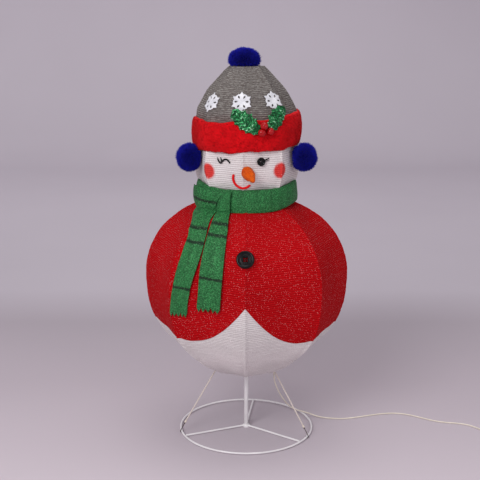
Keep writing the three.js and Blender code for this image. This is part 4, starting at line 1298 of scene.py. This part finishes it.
def nose():
    """A stuffed felt carrot, drooping to one side, with a seam and puckers along it."""
    root = Vector(polar(head_radius(NOSE_TURN, NOSE_Z) - 4 * MM, NOSE_TURN, NOSE_Z))
    aim = Vector((19, -60, -15)).normalized()
    turn = Vector((0, 0, 1)).rotation_difference(aim).to_matrix()
    section = smooth_curve([(14, 0), (17.2, 5), (18.2, 14), (17.2, 25), (14.8, 38), (10.6, 50), (7.2, 60),
                            (4.4, 67), (1.6, NOSE_LENGTH)], 6)
    around = ring_angles(56)
    rings = []
    for r, h in section:
        fine_folds = 0.03 * np.sin(7 * around + h / 14) * math.sin(h / 22)
        folds = 1 + 0.035 * np.sin(3 * around + h / 9) + fine_folds
        seam = 1 - 0.07 * np.exp(-(wrapped(around - 2.2) / 0.10) ** 2)
        lump = 1 + 0.03 * math.sin(h / 4.2)
        reach = r * folds * seam * lump
        ring = np.stack([reach * np.cos(around), reach * np.sin(around), h + 0 * around], -1)
        ring = ring @ np.array(turn).T
        ring[:, 2] -= NOSE_SAG * (h / NOSE_LENGTH) ** 2
        rings.append(ring * MM + np.array(root))
    tip = np.mean(rings[-1], axis=0, keepdims=True).repeat(len(around), 0) + np.array(aim) * 0.9 * MM
    base = np.mean(rings[0], axis=0, keepdims=True).repeat(len(around), 0)
    grid = np.stack([base] + rings + [tip])
    wide = np.arange(len(around) + 1) * 0.002
    uvs = np.stack(np.meshgrid(wide, np.arange(len(grid)) * 0.0015, indexing="xy"), -1)
    obj = grid_object("nose_carrot", grid, uvs, "carrot", wrap=True)
    settle_on(obj, "head", "orange_felt", "nose")


eyes()
mouth()
nose()


# ---- Trimmings ----
def cut_flat(name, loops, thickness, rounding, look, spacing):
    """A flat cut shape with rounded edges, split finely enough to bend."""
    obj = filled(name, loops, thickness / 2 - rounding, rounding, 1, look)
    obj.name = name
    bm = bmesh.new()
    bm.from_mesh(obj.data)
    bmesh.ops.triangulate(bm, faces=bm.faces)
    for _ in range(6):
        long = [e for e in bm.edges if e.calc_length() > spacing]
        if not long:
            break
        bmesh.ops.subdivide_edges(bm, edges=long, cuts=1, use_grid_fill=False)
        bmesh.ops.triangulate(bm, faces=bm.faces)
    layer = bm.loops.layers.uv.get("UVMap") or bm.loops.layers.uv.new("UVMap")
    for face in bm.faces:
        for loop in face.loops:
            loop[layer].uv = (loop.vert.co.x, loop.vert.co.y)
    bm.to_mesh(obj.data)
    bm.free()
    obj.data.shade_smooth()
    return obj


def laid_on(obj, outline, surface, angle, z, roll, lift, shape):
    """Bends a flat piece onto a lantern: x goes round it, y up its arc."""
    start = outline.arc(z) if outline else z
    turn = Matrix.Rotation(roll, 2)
    for v in obj.data.vertices:
        x, y = turn @ v.co.xy
        extra = shape(v.co.x, v.co.y)
        up = float(outline.height(start + y)) if outline else z + y
        a = angle + x / surface(angle, z)
        r = float(surface(a, up))
        slope = float(outline.slope(up)) if outline else 0.0
        tilt = math.hypot(1, slope)
        off = lift + v.co.z + extra
        v.co = Vector(polar(r + off / tilt, a, up - off * slope / tilt))
    return obj


FLAKE_TIP = 32.5  # mm
# One arm's edge, as degrees from its tip and mm from the centre.
FLAKE_RIM = [(-7, 27.4), (0, FLAKE_TIP), (7, 27.4), (14, 24.2), (20, 25.4), (25, 26.3), (30, 25.0),
             (35, 26.3), (40, 25.4), (46, 24.2)]
FLAKE_HOLE = [(22.5, 0), (16.5, -3.3), (10.5, 0), (16.5, 3.3)]


def snowflake_loops():
    outer, holes = [], []
    for arm in range(6):
        for away, r in FLAKE_RIM:
            a = (30 + 60 * arm + away) * DEG
            outer.append((r * math.cos(a) * MM, r * math.sin(a) * MM))
        a = 60 * arm * DEG
        holes.append([((x * math.cos(a) - y * math.sin(a)) * MM, (x * math.sin(a) + y * math.cos(a)) * MM)
                      for x, y in FLAKE_HOLE])
    return [outer] + holes


def flake_bumps(x, y):
    return 0.25 * MM * noise.noise(Vector((x, y, 0)) * 260)


def flake_ground(angle, z):
    """A stiff flake follows the hat's panels only in part."""
    return 0.35 * HEAD.radius(z) + 0.65 * head_radius(angle, z)


def snowflakes():
    for name, angle, z in (("left", -51, 1.062), ("middle", -7, 1.067), ("right", 36.5, 1.068)):
        flake = cut_flat(f"flake_{name}", snowflake_loops(), 2.2 * MM, 0.6 * MM, "felt", 5 * MM)
        laid_on(flake, HEAD, flake_ground, angle * DEG, z, 0.0, 1.8 * MM, flake_bumps)
        settle_on(flake, "head", "white_felt", f"snowflake_{name}")


def holly_outline(length, width, spines):
    """A leaf with pointed spines and scooped edges between them."""
    out = []
    for sign in (1, -1):
        order = range(spines) if sign == 1 else range(spines - 1, -1, -1)
        for i in order:
            for step in (0.0, 0.3, 0.5, 0.7):
                share = (i + (step if sign == 1 else 1 - step)) / spines
                reach = math.sin(math.pi * (0.04 + 0.92 * share)) ** 0.55
                depth = {0.0: 0.74, 0.3: 0.82, 0.5: 1.0, 0.7: 0.82}[step]
                out.append(((share - 0.5) * length, sign * width / 2 * reach * depth))
    return [out]


CUFF_FRONT = 0.166


def cuff_front(angle, z):
    """The round face of the cuff, where the holly sits."""
    return CUFF_FRONT


def crinkled(half):
    """How a leaf so wide stands off: a raised vein, ribs and drooping edges."""
    def off(x, y):
        vein = 2.6 * MM * math.exp(-(y / (3 * MM)) ** 2)
        ribs = 0.9 * MM * math.cos((x + abs(y) * 0.8) * 2 * math.pi / 0.013)
        droop = -5 * MM * (y / half) ** 2
        return 4.5 * MM + vein + ribs + droop + 1.2 * MM * noise.noise(Vector((x, y, 0)) * 120)
    return off


def holly():
    for name, length, width, angle, z, roll, spines in (
            ("left", 0.100, 0.060, -1.5, 1.014, -37, 5), ("right", 0.080, 0.060, 31, 1.024, 57, 4)):
        outline = holly_outline(length, width, spines)
        leaf = cut_flat(f"leaf_{name}", outline, 2.0 * MM, 0.5 * MM, "foil", 4 * MM)
        laid_on(leaf, None, cuff_front, angle * DEG, z, roll * DEG, 1.0 * MM, crinkled(width / 2))
        settle_on(leaf, "head", "green_tinsel", f"holly_leaf_{name}")


BERRY = 11.4  # mm, the radius of one


def berries():
    around = np.linspace(0, math.pi * 0.93, 26)
    section = [(BERRY * math.sin(a), BERRY - BERRY * math.cos(a)) for a in around]
    section += [(1.6, 22.0), (0.9, 21.4), (0, 21.2)]
    outline = [(max(r, 0) * MM, h * MM) for r, h in section]
    middle = surface_frame(cuff_front, 17.2 * DEG, 0.991, 3.5 * MM)
    parts = []
    for x, y in ((-4.5, 12), (-7.5, -8), (6.5, -5.5)):
        place = middle @ Matrix.Translation((x * MM, y * MM, 0)) @ Matrix.Rotation(0.5 + x / 9, 4, "Y")
        parts.append(turned("berry", outline, "bead", 40, place))
    settle_on(joined("berries", parts), "head", "red_bead", "holly_berries")


BUTTON_Z, BUTTON_RADIUS, BUTTON_THICK, BUTTON_HOLE = 0.634, 26.3 * MM, 7.6 * MM, 3.1 * MM
BUTTON_LIFT = 3.6 * MM  # enough to stand clear of the coat at rest


def body_round(angle, z):
    return BODY.radius(z)


def coat_button():
    place = surface_frame(body_round, BODY_TURN, BUTTON_Z, BUTTON_LIFT)
    button = sewn_button("big_button", BUTTON_RADIUS, BUTTON_THICK, BUTTON_HOLE, "black_plastic", place)
    settle_on(button, "coat_button", "black_plastic", "coat_button")


snowflakes()
holly()
berries()
coat_button()


# ---- Floor and lights ----
def add_stage():
    look = Look("backdrop", Roughness=0.95, Specular_IOR_Level=0.1)
    cloud = look.noise(look.place(), 0.7, 2.0)
    paper = look.ramp(cloud, (0.3, (214, 204, 211)), (0.7, (218, 208, 215)))
    # Painted shade on the floor: lightest at the front, darkest just behind the snowman, then lighter again
    # towards the wall.
    away = look.node("SeparateXYZ", {0: look.place()}).outputs[1]
    depth = look.remap(away, -1.0, 4.0, 0.0, 1.0)
    shade = look.ramp(depth, (0.0, (255, 255, 255)), (0.28, (222, 220, 222)), (0.42, (212, 211, 213)),
                      (0.52, (232, 234, 236)), (1.0, (240, 242, 244)))
    look.finish(look.mix(1.0, paper, shade, "MULTIPLY"))
    width, bend, far, tall = 16.0, 1.6, 7.0, 9.0
    section = [(-9.0, 0.0), (far - bend, 0.0)]
    for k in range(1, 13):
        a = k / 12 * math.pi / 2
        section.append((far - bend + bend * math.sin(a), bend - bend * math.cos(a)))
    section.append((far, tall))
    points = [(x, y, z) for y, z in section for x in (-width, width)]
    faces = [(2 * i, 2 * i + 1, 2 * i + 3, 2 * i + 2) for i in range(len(section) - 1)]
    mesh_object("backdrop", points, faces, look.material)


def area_light(name, at, aim, size, power):
    data = bpy.data.lights.new(name, "AREA")
    data.energy, data.size = power, size
    light = link(bpy.data.objects.new(name, data))
    light.location = at
    light.rotation_euler = (Vector(aim) - Vector(at)).to_track_quat("-Z", "Y").to_euler()


def add_lights():
    area_light("key", (-2.1, -4.0, 3.4), (0, 0, 0.6), 2.2, 138)
    area_light("fill", (3.2, -3.4, 1.8), (0, 0, 0.6), 3.0, 24)
    area_light("top", (0.2, 0.4, 4.6), (0, 0, 0.5), 3.0, 50)
    area_light("wall", (-1.5, 1.8, 5.2), (-0.5, 7, 4.6), 3.0, 85)
    world = bpy.data.worlds.new("studio")
    world.use_nodes = True
    sky = world.node_tree.nodes["Background"]
    sky.inputs[0].default_value, sky.inputs[1].default_value = (0.93, 0.9, 0.95, 1), 0.5
    bpy.context.scene.world = world


add_stage()
add_lights()
